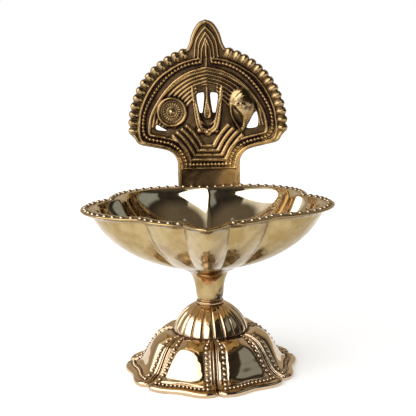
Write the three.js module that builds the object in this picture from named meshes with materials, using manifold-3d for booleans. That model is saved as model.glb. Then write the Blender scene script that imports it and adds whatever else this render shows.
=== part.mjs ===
// Brass diya: a five-lobed oil lamp bowl with a wick spout, an arched and engraved back plate,
// and a seven-petal foot that screws on under the bowl. Millimetres, +Z up, the spout towards -Y.
import * as THREE from "three";
import { mergeVertices } from "three/addons/utils/BufferGeometryUtils.js";
import Module from "manifold-3d";

const wasm = await Module();
wasm.setup();

// Driving dimensions: foot
const PETALS = 7;
const FOOT_TURN = 4; // degrees from the spout to the first seam between petals
const SEAM_RADIUS = 33.5; // bottom outline at a seam
const CORNER_RADIUS = 35.8; // bottom outline at the petals' round corners
const PETAL_MIDDLE_RADIUS = 33.9; // bottom outline half way along a petal
const CORNER_ANGLE = 8.5; // degrees from a seam to the corner beside it
const SEAM_DEPTH = 0.8;
const RIB_HEIGHT = 0.5; // raised rib on each side of a seam
const PANEL_BULGE = 0.6;
const BORDER_HEIGHT = 1.8; // upright edge round the bottom
const RESTING_WIDTH = 3.6; // flat ring that the foot stands on
const FOOT_WALL = 2.2;
const SKIRT_HEIGHT = 16.4; // where the dome begins
const DOME_RADIUS = 15.7;
const DOME_CENTRE_HEIGHT = 13.4;
const DOME_HEIGHT = 27.6;
const DOME_TOP_RADIUS = 6.7; // flat ring that the collar sits on
const FLUTES_PER_PETAL = 3; // their valleys meet the seams
const FLUTE_DEPTH = 0.4;
const BOSS_THICKNESS = 2.6; // roof of the dome, clamped by the nut

// Driving dimensions: stud, washer, nut and collar
const STUD_RADIUS = 2.95;
const STUD_CLEARANCE = 0.3;
const STUD_ENGAGEMENT = 8; // length screwed into the stem
const STUD_TAIL = 1.5; // length below the nut
const WASHER_RADIUS = 6;
const WASHER_THICKNESS = 1.2;
const NUT_ACROSS_FLATS = 10;
const NUT_HEIGHT = 5;
const COLLAR_RADIUS = 5.7;
const COLLAR_THICKNESS = 1.5;
const GROOVE_RADIUS = 4.8;
const GROOVE_HEIGHT = 0.8;

// Driving dimensions: bowl
const LOBES = 5;
const BOWL_TOP_RADIUS = 49.1; // row of beads at the middle of a lobe
const LOBE_DEPTH = 7.6; // how far the row comes in between two lobes
const FRONT_LOBE_DROP = 0.8; // the lobe with the spout reaches out less
const BOWL_DEPTH = 26.4;
const STEM_HEIGHT = 13.2;
const STEM_RADIUS = 5.2;
const BOWL_WALL = 1.8;
const BOWL_FLOOR = 2.5;
const FLANGE_OUTSIDE = 2.1; // flange beyond the row of beads
const FLANGE_INSIDE = 2.9; // flange within the row of beads
const FLANGE_THICKNESS = 1.5;
const SPOUT_REACH = 9.8;
const SPOUT_HALF_ANGLE = 10.4; // degrees
const SPOUT_MARGIN = 0.4; // lip beyond the line of the beads
const BEAD_RADIUS = 1.15;
const BEAD_SINK = 0.4; // bead centres below the flange's top
const BEAD_PITCH = 3.8;
const BORE_RUNOUT = 1; // bore beyond the end of the stud

// Driving dimensions: back plate, heights from the rim
const PLATE_THICKNESS = 2.2;
const PLATE_CLEARANCE = 0.3; // between the flange and the plate
const PLATE_OFFSET = 0.5; // soldered on a little to the right of the middle
const NECK_HALF_WIDTH = 14.1;
const NECK_TOP = 9.5; // where the neck begins to widen
const NECK_DROP = 7; // how far the neck hangs below the rim
const SHOULDER_HALF_WIDTH = 30.7;
const SHOULDER_HEIGHT = 18.8;
const ARCH_CENTRE_HEIGHT = 26.8;
const ARCH_RADIUS = 36; // to the tips of the scallops
const SCALLOPS = 13; // on each side
const SCALLOP_DEPTH = 1.1;
const SCALLOP_START = -5.8; // degrees above the level line
const SCALLOP_END = 75.4;
const FINIAL_HEIGHT = 73.6;
const FINIAL_LENGTH = 12.7; // above the last scallops
const FINIAL_HALF_WIDTH = 8.6; // at its foot
const FRAME_WIDTH = 5.7; // from the scallops' tips to the outer ridge
const BEAD_TRACK_WIDTH = 4; // between the outer and the inner ridge
const RIDGE_WIDTH = 1.2;
const RIDGE_HEIGHT = 0.8;
const NICHE_TOP = 52.7; // peak of the inner ridge
const NICHE_LINES = 4; // fine arches inside the inner ridge
const NICHE_PITCH = 1.9;
const FINE_WIDTH = 0.8;
const FINE_HEIGHT = 0.45;
const DISC_X = -15.9;
const DISC_HEIGHT = 33.4;
const DISC_RADIUS = 6.9; // to the outside of its rim
const DISC_RIM = 0.8; // radius of the rim's round section
const DISC_BASE = 0.5; // height of the disc's floor above the plate
const DISC_BOSS_RADIUS = 1.9;
const DISC_BOSS_HEIGHT = 1.5;
const DISC_TEETH = 18;
const MARK_TOP = 44.1;
const MARK_BOTTOM = 23.2;
const MARK_HALF_WIDTH = 7;
const MARK_ARM_WIDTH = 1.9;
const MARK_HEIGHT = 1.2;
const SPIKE_HALF_WIDTH = 1.9;
const SPIKE_BOTTOM = 29.9;
const CONCH_HEIGHT = 2;
const CONCH_X = 15.2;
const CONCH_BOTTOM = 23.6;
const CONCH_TOP = 43.4;
const CONCH_HALF_WIDTH = 5.75;
const SOLDER_X = 11; // middle of each fillet
const SOLDER_WIDTH = 4;
const SOLDER_DROP = 5;

// Sizes that follow from them
const STUD_BORE = STUD_RADIUS + STUD_CLEARANCE;
const STEM_SEAT = DOME_HEIGHT + COLLAR_THICKNESS + GROOVE_HEIGHT;
const RIM_HEIGHT = STEM_SEAT + STEM_HEIGHT + BOWL_DEPTH;
const DOME_RISE = (DOME_HEIGHT - DOME_CENTRE_HEIGHT) / Math.sqrt(1 - (DOME_TOP_RADIUS / DOME_RADIUS) ** 2);
const CEILING = DOME_HEIGHT - BOSS_THICKNESS;
const WASHER_BOTTOM = CEILING - WASHER_THICKNESS;
const NUT_BOTTOM = WASHER_BOTTOM - NUT_HEIGHT;
const PETAL_ANGLE = 360 / PETALS;
const LOBE_ANGLE = 360 / LOBES;
const RELIEF_ROOT = 0.2; // how far a relief is let into the plate

const radians = THREE.MathUtils.degToRad;
const degrees = THREE.MathUtils.radToDeg;
const smooth = THREE.MathUtils.smoothstep;
const mix = THREE.MathUtils.lerp;

// A point at a radius and height, the angle in degrees from -Y towards +X.
function polar(radius, angle, height) {
  const a = radians(angle);
  return new THREE.Vector3(radius * Math.sin(a), -radius * Math.cos(a), height);
}

// Angle from the nearest multiple of a step, in degrees, without sign.
function fromNearest(angle, step) {
  return Math.abs(angle - step * Math.round(angle / step));
}

function toSolid(geometry) {
  const bare = geometry.clone();
  bare.deleteAttribute("normal");
  bare.deleteAttribute("uv");
  const merged = mergeVertices(bare, 1e-4);
  return new wasm.Manifold(
    new wasm.Mesh({
      numProp: 3,
      vertProperties: new Float32Array(merged.attributes.position.array),
      triVerts: new Uint32Array(merged.index.array),
    }),
  );
}

function toGeometry(solid) {
  const mesh = solid.getMesh();
  const geometry = new THREE.BufferGeometry();
  geometry.setAttribute("position", new THREE.BufferAttribute(mesh.vertProperties, 3));
  geometry.setIndex(new THREE.BufferAttribute(mesh.triVerts, 1));
  geometry.computeVertexNormals();
  return geometry;
}

function joined(geometries) {
  const solids = geometries.map(toSolid);
  return solids.reduce((all, next) => all.add(next));
}

// A closed skin through rings of equally many points, each ring anticlockwise seen from above.
// The rings run down the outside and up the inside; a ring of one point closes the skin there,
// and otherwise the last ring joins the first.
function skin(rings) {
  const points = rings.flat();
  const starts = rings.map((ring, i) => rings.slice(0, i).reduce((n, r) => n + r.length, 0));
  const triangles = [];
  const closed = rings[0].length > 1;
  for (let i = 0; i < rings.length - (closed ? 0 : 1); i++) {
    const j = (i + 1) % rings.length;
    const count = Math.max(rings[i].length, rings[j].length);
    const at = (ring, k) => starts[ring] + (k % rings[ring].length);
    for (let k = 0; k < count; k++) {
      if (rings[i].length > 1) triangles.push(at(i, k), at(j, k), at(i, k + 1));
      if (rings[j].length > 1) triangles.push(at(i, k + 1), at(j, k), at(j, k + 1));
    }
  }
  const geometry = new THREE.BufferGeometry();
  geometry.setFromPoints(points);
  geometry.setIndex(triangles);
  geometry.computeVertexNormals();
  return geometry;
}

// A turned piece with a bore, its profile going round once as [radius, height] pairs.
function turned(profile, sides = 48) {
  const points = [...profile, profile[0]].map(([r, z]) => new THREE.Vector2(r, z));
  return new THREE.LatheGeometry(points, sides).rotateX(Math.PI / 2);
}

// Foot: petal skirt and fluted dome in one hollow casting
function petalRadius(fromSeam) {
  if (fromSeam < CORNER_ANGLE) {
    const rise = 1 - (1 - fromSeam / CORNER_ANGLE) ** 3;
    return mix(SEAM_RADIUS, CORNER_RADIUS, rise);
  }
  const along = (fromSeam - CORNER_ANGLE) / (PETAL_ANGLE / 2 - CORNER_ANGLE);
  return mix(PETAL_MIDDLE_RADIUS, CORNER_RADIUS, (1 + Math.cos(Math.PI * along)) / 2);
}

function petalRelief(fromSeam) {
  const seam = -SEAM_DEPTH * (1 - smooth(fromSeam, 0, 2));
  const rib = RIB_HEIGHT * smooth(fromSeam, 1, 3) * (1 - smooth(fromSeam, 4, 7));
  const panel = PANEL_BULGE * smooth(fromSeam, 7, PETAL_ANGLE / 2);
  return seam + rib + panel;
}

function footGeometry() {
  const half = [0, 1.8, 4, 7, 12, 18.5].map((a) => (a / 25.7) * (PETAL_ANGLE / 2));
  const petal = [...half, PETAL_ANGLE / 2, ...half.slice(1).reverse().map((a) => PETAL_ANGLE - a)];
  const skirtAngles = [];
  for (let p = 0; p < PETALS; p++) skirtAngles.push(...petal.map((a) => a + p * PETAL_ANGLE));
  const count = skirtAngles.length;
  const domeAngles = skirtAngles.map((a, i) => (i * 360) / count);
  const perFlute = petal.length / FLUTES_PER_PETAL;
  const reach = PETAL_MIDDLE_RADIUS - DOME_RADIUS;

  // share 0 is the dome's foot and 1 the bottom edge; inset moves the ring into the casting
  const skirtRing = (share, height, inset = 0, relief = 0) =>
    skirtAngles.map((angle) => {
      const fromSeam = fromNearest(angle, PETAL_ANGLE);
      const outline = petalRadius(fromSeam) - PETAL_MIDDLE_RADIUS;
      const radius = DOME_RADIUS + reach * share + outline * smooth(share, 0.2, 1);
      const raised = petalRelief(fromSeam) * relief;
      return polar(radius + raised * 0.6 - inset, angle + FOOT_TURN, height + raised * 0.8);
    });
  const domeRing = (radius, height, fluted = 0) =>
    domeAngles.map((angle, i) => {
      const valley = i % perFlute === 0 ? FLUTE_DEPTH * fluted : 0;
      return polar(radius - valley, angle + FOOT_TURN, height);
    });
  const domeRadiusAt = (height, inset = 0) => {
    const up = (height - DOME_CENTRE_HEIGHT) / (DOME_RISE - inset);
    return (DOME_RADIUS - inset) * Math.sqrt(1 - up ** 2);
  };

  const rings = [domeRing(STUD_BORE, DOME_HEIGHT)];
  rings.push(domeRing(domeRadiusAt(DOME_HEIGHT), DOME_HEIGHT));
  for (const [share, fluted] of [[0.88, 0.3], [0.7, 0.8], [0.45, 1], [0.2, 1], [0.03, 1]]) {
    const height = mix(SKIRT_HEIGHT, DOME_HEIGHT, share);
    rings.push(domeRing(domeRadiusAt(height), height, fluted));
  }
  rings.push(skirtRing(0, SKIRT_HEIGHT));
  const rise = SKIRT_HEIGHT - BORDER_HEIGHT;
  const shoulder = [[0.16, 0.97], [0.35, 0.83], [0.47, 0.62], [0.56, 0.4], [0.67, 0.17], [0.83, 0.03]];
  for (const [share, up] of shoulder) {
    const relief = Math.sin(Math.PI * Math.min(1, share * 1.6)) ** 0.5 || 0;
    rings.push(skirtRing(share, BORDER_HEIGHT + rise * up, 0, relief));
  }
  rings.push(skirtRing(1, BORDER_HEIGHT));
  rings.push(skirtRing(1, 0));
  rings.push(skirtRing(1, 0, RESTING_WIDTH));
  for (const [share, up] of shoulder.slice(1, 5).reverse()) {
    rings.push(skirtRing(share, BORDER_HEIGHT + rise * up - FOOT_WALL * 0.75, FOOT_WALL * 0.75));
  }
  rings.push(domeRing(DOME_RADIUS - FOOT_WALL, SKIRT_HEIGHT - FOOT_WALL * 0.7));
  for (const share of [0.35, 0.7, 1]) {
    const height = mix(SKIRT_HEIGHT, CEILING, share);
    rings.push(domeRing(domeRadiusAt(height, FOOT_WALL), height));
  }
  rings.push(domeRing(STUD_BORE, CEILING));
  return skin(rings);
}

// Stud, washer and nut that hold the foot to the stem
function studGeometry() {
  const top = STEM_SEAT + STUD_ENGAGEMENT;
  const bottom = NUT_BOTTOM - STUD_TAIL;
  const stud = new THREE.CylinderGeometry(STUD_RADIUS, STUD_RADIUS, top - bottom, 32);
  return stud.rotateX(Math.PI / 2).translate(0, 0, (top + bottom) / 2);
}

function washerGeometry() {
  return turned([
    [STUD_BORE, WASHER_BOTTOM],
    [WASHER_RADIUS, WASHER_BOTTOM],
    [WASHER_RADIUS, CEILING],
    [STUD_BORE, CEILING],
  ]);
}

function nutGeometry() {
  const corner = NUT_ACROSS_FLATS / 2 / Math.cos(Math.PI / 6);
  const outline = new THREE.Shape();
  for (let i = 0; i < 6; i++) {
    const a = (i * Math.PI) / 3;
    if (i === 0) outline.moveTo(corner, 0);
    else outline.lineTo(corner * Math.cos(a), corner * Math.sin(a));
  }
  const bore = new THREE.Path().absarc(0, 0, STUD_BORE, 0, 2 * Math.PI, true);
  outline.holes.push(bore);
  const nut = new THREE.ExtrudeGeometry(outline, {
    depth: NUT_HEIGHT,
    bevelEnabled: false,
    curveSegments: 24,
  });
  return nut.translate(0, 0, NUT_BOTTOM);
}

// Collar ring with the dark parting groove turned above it
function collarGeometry() {
  const top = DOME_HEIGHT + COLLAR_THICKNESS;
  const round = COLLAR_THICKNESS / 4;
  return turned([
    [STUD_BORE, DOME_HEIGHT],
    [COLLAR_RADIUS - round, DOME_HEIGHT],
    [COLLAR_RADIUS, DOME_HEIGHT + round],
    [COLLAR_RADIUS, top - round],
    [COLLAR_RADIUS - round, top],
    [GROOVE_RADIUS, top],
    [GROOVE_RADIUS, STEM_SEAT],
    [STUD_BORE, STEM_SEAT],
  ]);
}

// Bowl: local heights from the stem's seat
const BOWL_RIM = STEM_HEIGHT + BOWL_DEPTH;

// Radius of the row of beads: a parabola across each lobe.
function rowRadius(angle) {
  const fromMiddle = fromNearest(angle, LOBE_ANGLE);
  const front = Math.abs(angle) < LOBE_ANGLE / 2;
  const depth = front ? LOBE_DEPTH - FRONT_LOBE_DROP : LOBE_DEPTH;
  const low = BOWL_TOP_RADIUS - LOBE_DEPTH;
  return low + depth * (1 - (fromMiddle / (LOBE_ANGLE / 2)) ** 2);
}

// How far the spout stands out of the front lobe, 0 outside its half angle.
function spoutRise(angle, halfAngle) {
  const u = Math.max(0, 1 - Math.abs(angle) / halfAngle);
  return 1.13 * u - 0.13 * u ** 6;
}

// Height share of the wall at a share of its radius: flat below and steep at the rim.
function wallRise(share) {
  return 1 - (1 - share ** 2.2) ** 0.64;
}

function bowlSide() {
  const spout = [0, 0.23, 0.46, 0.69, 0.9, 1].map((s) => s * SPOUT_HALF_ANGLE);
  const kink = LOBE_ANGLE / 2;
  const front = [1, 2, 3, 4, 5].map((i) => mix(SPOUT_HALF_ANGLE, kink, i / 5));
  const rest = [];
  for (let i = 1; i <= 24; i++) rest.push(mix(kink, 180, i / 24));
  return [...spout, ...front, ...rest];
}

function bowlSolid() {
  const side = bowlSide();
  const angles = [...side, ...side.slice(1, -1).reverse().map((a) => 360 - a)];
  const signed = angles.map((a) => (a > 180 ? a - 360 : a));
  const margin = (a) => mix(SPOUT_MARGIN, FLANGE_OUTSIDE, smooth(Math.abs(a), SPOUT_HALF_ANGLE, 16));
  const innerHalfAngle = SPOUT_HALF_ANGLE - 1;
  const edgeRadius = (a) => rowRadius(a) + margin(a) + SPOUT_REACH * spoutRise(a, SPOUT_HALF_ANGLE);
  const outerTop = BOWL_TOP_RADIUS - FLANGE_OUTSIDE;
  const innerTop = outerTop - BOWL_WALL;

  // share is the radius as a part of the top radius, where the lobes and the spout are whole
  const wallRing = (share, height, top, inner) =>
    signed.map((a) => {
      const lobed = smooth(share, 0.2, 0.75);
      const lobe = (rowRadius(a) - BOWL_TOP_RADIUS) * lobed;
      const grown = Math.max(0, (share - 0.17) / 0.83) ** 1.2;
      const reach = inner
        ? (SPOUT_REACH + FLANGE_INSIDE - BOWL_WALL) * spoutRise(a, innerHalfAngle)
        : (SPOUT_REACH + SPOUT_MARGIN) * spoutRise(a, SPOUT_HALF_ANGLE);
      return polar(share * (top + lobe) + reach * grown, a, height);
    });
  const roundRing = (radius, height) => signed.map((a) => polar(radius, a, height));
  const edgeRing = (height, inset) => signed.map((a) => polar(edgeRadius(a) - inset, a, height));

  const floorHeight = STEM_HEIGHT + BOWL_FLOOR;
  const innerDepth = BOWL_RIM - floorHeight;
  const rings = [[new THREE.Vector3(0, 0, floorHeight)]];
  for (const share of [0.2, 0.4, 0.55, 0.68, 0.79, 0.88, 0.945, 0.98]) {
    rings.push(wallRing(share, floorHeight + innerDepth * wallRise(share), innerTop, true));
  }
  rings.push(wallRing(1, BOWL_RIM, BOWL_TOP_RADIUS - FLANGE_INSIDE, true));
  rings.push(edgeRing(BOWL_RIM, 0.3));
  rings.push(edgeRing(BOWL_RIM - 0.4, 0));
  rings.push(edgeRing(BOWL_RIM - FLANGE_THICKNESS, 0.2));
  const underside = 0.995;
  rings.push(wallRing(underside, BOWL_RIM - FLANGE_THICKNESS, outerTop, false));
  for (const share of [0.975, 0.93, 0.86, 0.77, 0.66, 0.54, 0.42, 0.32]) {
    rings.push(wallRing(share, STEM_HEIGHT + BOWL_DEPTH * wallRise(share), outerTop, false));
  }
  const stem = new THREE.CatmullRomCurve3([
    new THREE.Vector3(11.6, 0, STEM_HEIGHT * 0.985),
    new THREE.Vector3(8.4, 0, STEM_HEIGHT * 0.86),
    new THREE.Vector3(6.7, 0, STEM_HEIGHT * 0.63),
    new THREE.Vector3(5.9, 0, STEM_HEIGHT * 0.38),
    new THREE.Vector3(STEM_RADIUS + 0.35, 0, STEM_HEIGHT * 0.14),
    new THREE.Vector3(STEM_RADIUS, 0, 0),
  ]);
  for (const p of stem.getSpacedPoints(7)) rings.push(roundRing(p.x, p.z));
  rings.push(roundRing(STUD_BORE, 0));
  rings.push(roundRing(STUD_BORE, STUD_ENGAGEMENT + BORE_RUNOUT));
  rings.push([new THREE.Vector3(0, 0, STUD_ENGAGEMENT + BORE_RUNOUT)]);
  return toSolid(skin(rings));
}

// Places along one side of the bowl's row of beads, an even pitch apart.
function beadAngles() {
  const first = SPOUT_HALF_ANGLE + degrees(BEAD_RADIUS / BOWL_TOP_RADIUS);
  const steps = 400;
  const lengths = [0];
  const at = (i) => mix(first, 180, i / steps);
  for (let i = 1; i <= steps; i++) {
    const from = polar(rowRadius(at(i - 1)), at(i - 1), 0);
    lengths.push(lengths[i - 1] + from.distanceTo(polar(rowRadius(at(i)), at(i), 0)));
  }
  const gaps = Math.round(lengths[steps] / BEAD_PITCH);
  const angles = [];
  for (let n = 0, i = 0; n <= gaps; n++) {
    const wanted = (lengths[steps] * n) / gaps;
    while (i < steps && lengths[i] < wanted) i++;
    angles.push(at(i));
  }
  return angles;
}

function bowlGeometry() {
  let bowl = bowlSolid();
  const side = beadAngles();
  for (const angle of [...side, ...side.slice(0, -1).map((a) => -a)]) {
    const place = polar(rowRadius(angle), angle, BOWL_RIM - BEAD_SINK);
    const bead = new THREE.SphereGeometry(BEAD_RADIUS, 7, 4).rotateX(Math.PI / 2);
    bowl = bowl.add(toSolid(bead.translate(place.x, place.y, place.z)));
  }
  return toGeometry(bowl);
}

// Back plate: drawn in X and Z, the front face at y = 0 and heights from the rim
function flat(points) {
  return points.map(([x, z]) => new THREE.Vector2(x, z));
}

function mirrored(points) {
  return points.map((p) => new THREE.Vector2(-p.x, p.y));
}

// A half drawn from the middle outwards becomes a whole, left to right.
function bothSides(half) {
  const seam = half[0].x === 0 ? 1 : 0;
  return [...mirrored(half).reverse(), ...half.slice(seam)];
}

function archPoint(radius, angle) {
  const a = radians(angle);
  return new THREE.Vector2(radius * Math.cos(a), ARCH_CENTRE_HEIGHT + radius * Math.sin(a));
}

function scallopPoints() {
  const pitch = (SCALLOP_END - SCALLOP_START) / SCALLOPS;
  const points = [];
  for (let i = 0; i < SCALLOPS; i++) {
    for (const u of [0, 0.2, 0.5, 0.8]) {
      const radius = ARCH_RADIUS - SCALLOP_DEPTH * (1 - Math.sin(Math.PI * u) ** 0.7);
      points.push(archPoint(radius, SCALLOP_START + (i + u) * pitch));
    }
  }
  return points;
}

// The curve from the neck out to the shoulder, drawn in by an inset.
function shoulderCurve(inset = 0) {
  return new THREE.QuadraticBezierCurve(
    new THREE.Vector2(NECK_HALF_WIDTH - inset, NECK_TOP),
    new THREE.Vector2(NECK_HALF_WIDTH - inset * 0.7, SHOULDER_HEIGHT - 1.8 + inset * 0.9),
    new THREE.Vector2(SHOULDER_HALF_WIDTH - inset, SHOULDER_HEIGHT + inset),
  );
}

// The right half of the outline, from the neck's foot to the finial's tip.
function plateSide() {
  const foot = FINIAL_HEIGHT - FINIAL_LENGTH;
  const finial = new THREE.SplineCurve([
    new THREE.Vector2(FINIAL_HALF_WIDTH, foot),
    new THREE.Vector2(FINIAL_HALF_WIDTH * 0.85, foot + FINIAL_LENGTH * 0.2),
    new THREE.Vector2(FINIAL_HALF_WIDTH * 0.73, foot + FINIAL_LENGTH * 0.46),
    new THREE.Vector2(FINIAL_HALF_WIDTH * 0.57, foot + FINIAL_LENGTH * 0.69),
    new THREE.Vector2(FINIAL_HALF_WIDTH * 0.35, foot + FINIAL_LENGTH * 0.89),
    new THREE.Vector2(0, FINIAL_HEIGHT),
  ]);
  return [
    new THREE.Vector2(NECK_HALF_WIDTH - 1.5, -NECK_DROP),
    new THREE.Vector2(NECK_HALF_WIDTH, 1.5 - NECK_DROP),
    ...shoulderCurve().getPoints(7),
    new THREE.Vector2(SHOULDER_HALF_WIDTH + 1.7, SHOULDER_HEIGHT + 1.6),
    new THREE.Vector2(SHOULDER_HALF_WIDTH + 2.5, SHOULDER_HEIGHT + 3.2),
    ...scallopPoints(),
    ...finial.getPoints(9),
  ];
}

// Extrudes a shape drawn in X and Z from `front` to `back` along Y.
function slab(shape, front, back, curveSegments = 6) {
  const options = { depth: back - front, bevelEnabled: false, curveSegments };
  return new THREE.ExtrudeGeometry(shape, options).rotateX(Math.PI / 2).translate(0, back, 0);
}

// A raised line on the plate's front: flat below, with sloping sides.
function ridge(path, width, height) {
  const rings = path.map((p, i) => {
    const before = path[Math.max(0, i - 1)];
    const after = path[Math.min(path.length - 1, i + 1)];
    const along = after.clone().sub(before).normalize();
    const across = new THREE.Vector2(-along.y, along.x);
    const corner = (offset, y) =>
      new THREE.Vector3(p.x + across.x * offset, y, p.y + across.y * offset);
    const half = width / 2;
    return [
      corner(half, RELIEF_ROOT),
      corner(-half, RELIEF_ROOT),
      corner(-half * 0.5, -height),
      corner(half * 0.5, -height),
    ];
  });
  return skin([middleOf(rings[0]), ...rings, middleOf(rings.at(-1))]);
}

function middleOf(ring) {
  return [ring.reduce((sum, p) => sum.add(p), new THREE.Vector3()).divideScalar(ring.length)];
}

// The outer ridge: round the arch, the lower corner and down to the neck.
function frameLine() {
  const radius = ARCH_RADIUS - FRAME_WIDTH;
  const round = [];
  for (let i = 0; i <= 12; i++) round.push(archPoint(radius, mix(84, -4, i / 12)));
  const corner = new THREE.Vector2(radius - 1, SHOULDER_HEIGHT + 1.8);
  return [...round, corner, ...shoulderCurve(2.5).getPoints(6).reverse().slice(1)];
}

// The inner ridge: a pointed arch above, and the frame's lower curve below.
function nicheLine() {
  const inset = FRAME_WIDTH + BEAD_TRACK_WIDTH;
  const side = ARCH_RADIUS - inset;
  const arch = new THREE.SplineCurve([
    new THREE.Vector2(0, NICHE_TOP),
    new THREE.Vector2(side * 0.285, NICHE_TOP - 2),
    new THREE.Vector2(side * 0.53, NICHE_TOP - 5.7),
    new THREE.Vector2(side * 0.71, NICHE_TOP - 10.4),
    new THREE.Vector2(side * 0.865, NICHE_TOP - 16.1),
    new THREE.Vector2(side * 0.96, ARCH_CENTRE_HEIGHT + 5.1),
    new THREE.Vector2(side, ARCH_CENTRE_HEIGHT),
    new THREE.Vector2(side - 0.5, SHOULDER_HEIGHT + 4.6),
  ]);
  return [...arch.getSpacedPoints(15), ...shoulderCurve(6).getPoints(6).reverse().slice(1)];
}

// Fine arches that repeat the niche's top, each lower and narrower.
function nicheArch(inset) {
  const side = ARCH_RADIUS - FRAME_WIDTH - BEAD_TRACK_WIDTH - inset;
  const top = NICHE_TOP - inset;
  const arch = new THREE.SplineCurve([
    new THREE.Vector2(0, top),
    new THREE.Vector2(side * 0.3, top - 1.9),
    new THREE.Vector2(side * 0.56, top - 5.5),
    new THREE.Vector2(side * 0.76, top - 10),
    new THREE.Vector2(side * 0.91, top - 15.5),
    new THREE.Vector2(side, ARCH_CENTRE_HEIGHT),
  ]);
  return arch.getSpacedPoints(10);
}

// Fine lines that fan down from the mark to the neck and run level across it.
function fanLine(step) {
  const foot = new THREE.Vector2(7.8 - 1.9 * step, NECK_TOP + 2.1 + 2.3 * step);
  const head = new THREE.Vector2(15.3 - 2 * step, SHOULDER_HEIGHT + 3.6 + 1.5 * step);
  const bend = new THREE.Vector2(mix(foot.x, head.x, 0.4), mix(foot.y, head.y, 0.62));
  return new THREE.QuadraticBezierCurve(foot, bend, head).getPoints(4);
}

function discReliefs() {
  const centre = new THREE.Vector2(DISC_X, DISC_HEIGHT);
  const ringRadius = DISC_RADIUS - DISC_RIM;
  const floor = new THREE.Shape().absarc(centre.x, centre.y, ringRadius, 0, 2 * Math.PI);
  const rim = new THREE.TorusGeometry(ringRadius, DISC_RIM, 6, 32).rotateX(Math.PI / 2);
  const boss = new THREE.SphereGeometry(DISC_BOSS_RADIUS, 14, 8);
  boss.scale(1, DISC_BOSS_HEIGHT / DISC_BOSS_RADIUS, 1);
  const reliefs = [rim, boss].map((g) => g.translate(centre.x, -DISC_BASE, centre.y));
  reliefs.push(slab(floor, -DISC_BASE, RELIEF_ROOT, 16));
  for (let i = 0; i < DISC_TEETH; i++) {
    const way = new THREE.Vector2(1, 0).rotateAround(new THREE.Vector2(), (i * 2 * Math.PI) / DISC_TEETH);
    const end = (radius) => centre.clone().addScaledVector(way, radius);
    reliefs.push(ridge([end(DISC_BOSS_RADIUS - 0.4), end(ringRadius)], 0.8, DISC_BASE + 0.4));
  }
  return reliefs;
}

// The upright U with a drop-shaped spike between its arms
function markReliefs() {
  const knee = MARK_BOTTOM + 3.2;
  const side = flat([
    [MARK_HALF_WIDTH - MARK_ARM_WIDTH, MARK_TOP],
    [MARK_HALF_WIDTH - MARK_ARM_WIDTH - 1.6, knee + 1.2],
    [1.3, MARK_BOTTOM + 2],
  ]);
  const outside = flat([
    [1.7, MARK_BOTTOM],
    [MARK_HALF_WIDTH - 1.6, knee],
    [MARK_HALF_WIDTH, MARK_TOP],
  ]);
  const half = [...mirrored(side).reverse(), ...mirrored(outside).reverse()];
  const prongs = new THREE.Shape([...side, ...half, ...outside]);
  const spike = bothSides(flat([
    [0, MARK_TOP],
    [SPIKE_HALF_WIDTH * 0.55, MARK_TOP - 7],
    [SPIKE_HALF_WIDTH * 0.9, SPIKE_BOTTOM + 3.9],
    [SPIKE_HALF_WIDTH, SPIKE_BOTTOM + 1.9],
    [SPIKE_HALF_WIDTH * 0.63, SPIKE_BOTTOM + 0.4],
    [SPIKE_HALF_WIDTH * 0.2, SPIKE_BOTTOM],
  ]));
  return [
    slab(prongs, -MARK_HEIGHT, RELIEF_ROOT),
    slab(new THREE.Shape(spike), -MARK_HEIGHT * 0.8, RELIEF_ROOT),
  ];
}

// The conch: a swelling body, pointed at both ends, that bulges from the plate
function conchRelief() {
  const length = CONCH_TOP - CONCH_BOTTOM;
  const shares = [0.1, 0.36, 0.72, 0.93, 1, 0.96, 0.76, 0.45, 0.1];
  const rings = shares.map((share, i) => {
    const t = i / (shares.length - 1);
    const half = share * CONCH_HALF_WIDTH;
    const ring = [];
    for (let k = 0; k < 10; k++) {
      const a = (k * 2 * Math.PI) / 10;
      const out = Math.sin(a) * CONCH_HEIGHT * Math.sqrt(share);
      const x = CONCH_X + half * Math.cos(a);
      ring.push(new THREE.Vector3(x, -Math.max(out, -RELIEF_ROOT), CONCH_BOTTOM + length * t));
    }
    return ring;
  });
  return skin([middleOf(rings[0]), ...rings, middleOf(rings.at(-1))]);
}

// Openings cut right through: beside the spike and in the corners under the disc and the conch
function windowCuts() {
  const middle = flat([[1.3, 40.9], [2.2, 33.4], [3.7, 33.5], [4.85, 40.5]]);
  const outlines = [
    middle,
    mirrored(middle).reverse(),
    flat([[-22.9, 27.6], [-23.3, 25.7], [-18.6, 25]]),
    flat([[21.6, 32.6], [17.6, 25.6], [21.8, 25.6], [22.6, 28]]),
  ];
  return outlines.map((points) => slab(new THREE.Shape(points), -5, PLATE_THICKNESS + 5));
}

function plateGeometry() {
  const outline = new THREE.Shape(bothSides(plateSide().reverse()));
  const reliefs = [slab(outline, 0, PLATE_THICKNESS)];
  const frame = frameLine();
  for (const line of [frame, mirrored(frame)]) reliefs.push(ridge(line, RIDGE_WIDTH, RIDGE_HEIGHT));
  reliefs.push(ridge(bothSides(nicheLine()), RIDGE_WIDTH, RIDGE_HEIGHT));
  for (let i = 1; i <= NICHE_LINES; i++) {
    reliefs.push(ridge(bothSides(nicheArch(i * NICHE_PITCH)), FINE_WIDTH, FINE_HEIGHT));
  }
  for (let i = 0; i < 4; i++) reliefs.push(ridge(bothSides(fanLine(i)), FINE_WIDTH, FINE_HEIGHT));
  const sill = flat([[0, NECK_TOP - 2.2], [NECK_HALF_WIDTH - 3, NECK_TOP - 2.2]]);
  reliefs.push(ridge(bothSides(sill), RIDGE_WIDTH, RIDGE_HEIGHT));
  reliefs.push(...discReliefs(), ...markReliefs(), conchRelief());
  let plate = joined(reliefs);
  for (const cut of windowCuts()) plate = plate.subtract(toSolid(cut));
  return toGeometry(plate);
}

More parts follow.
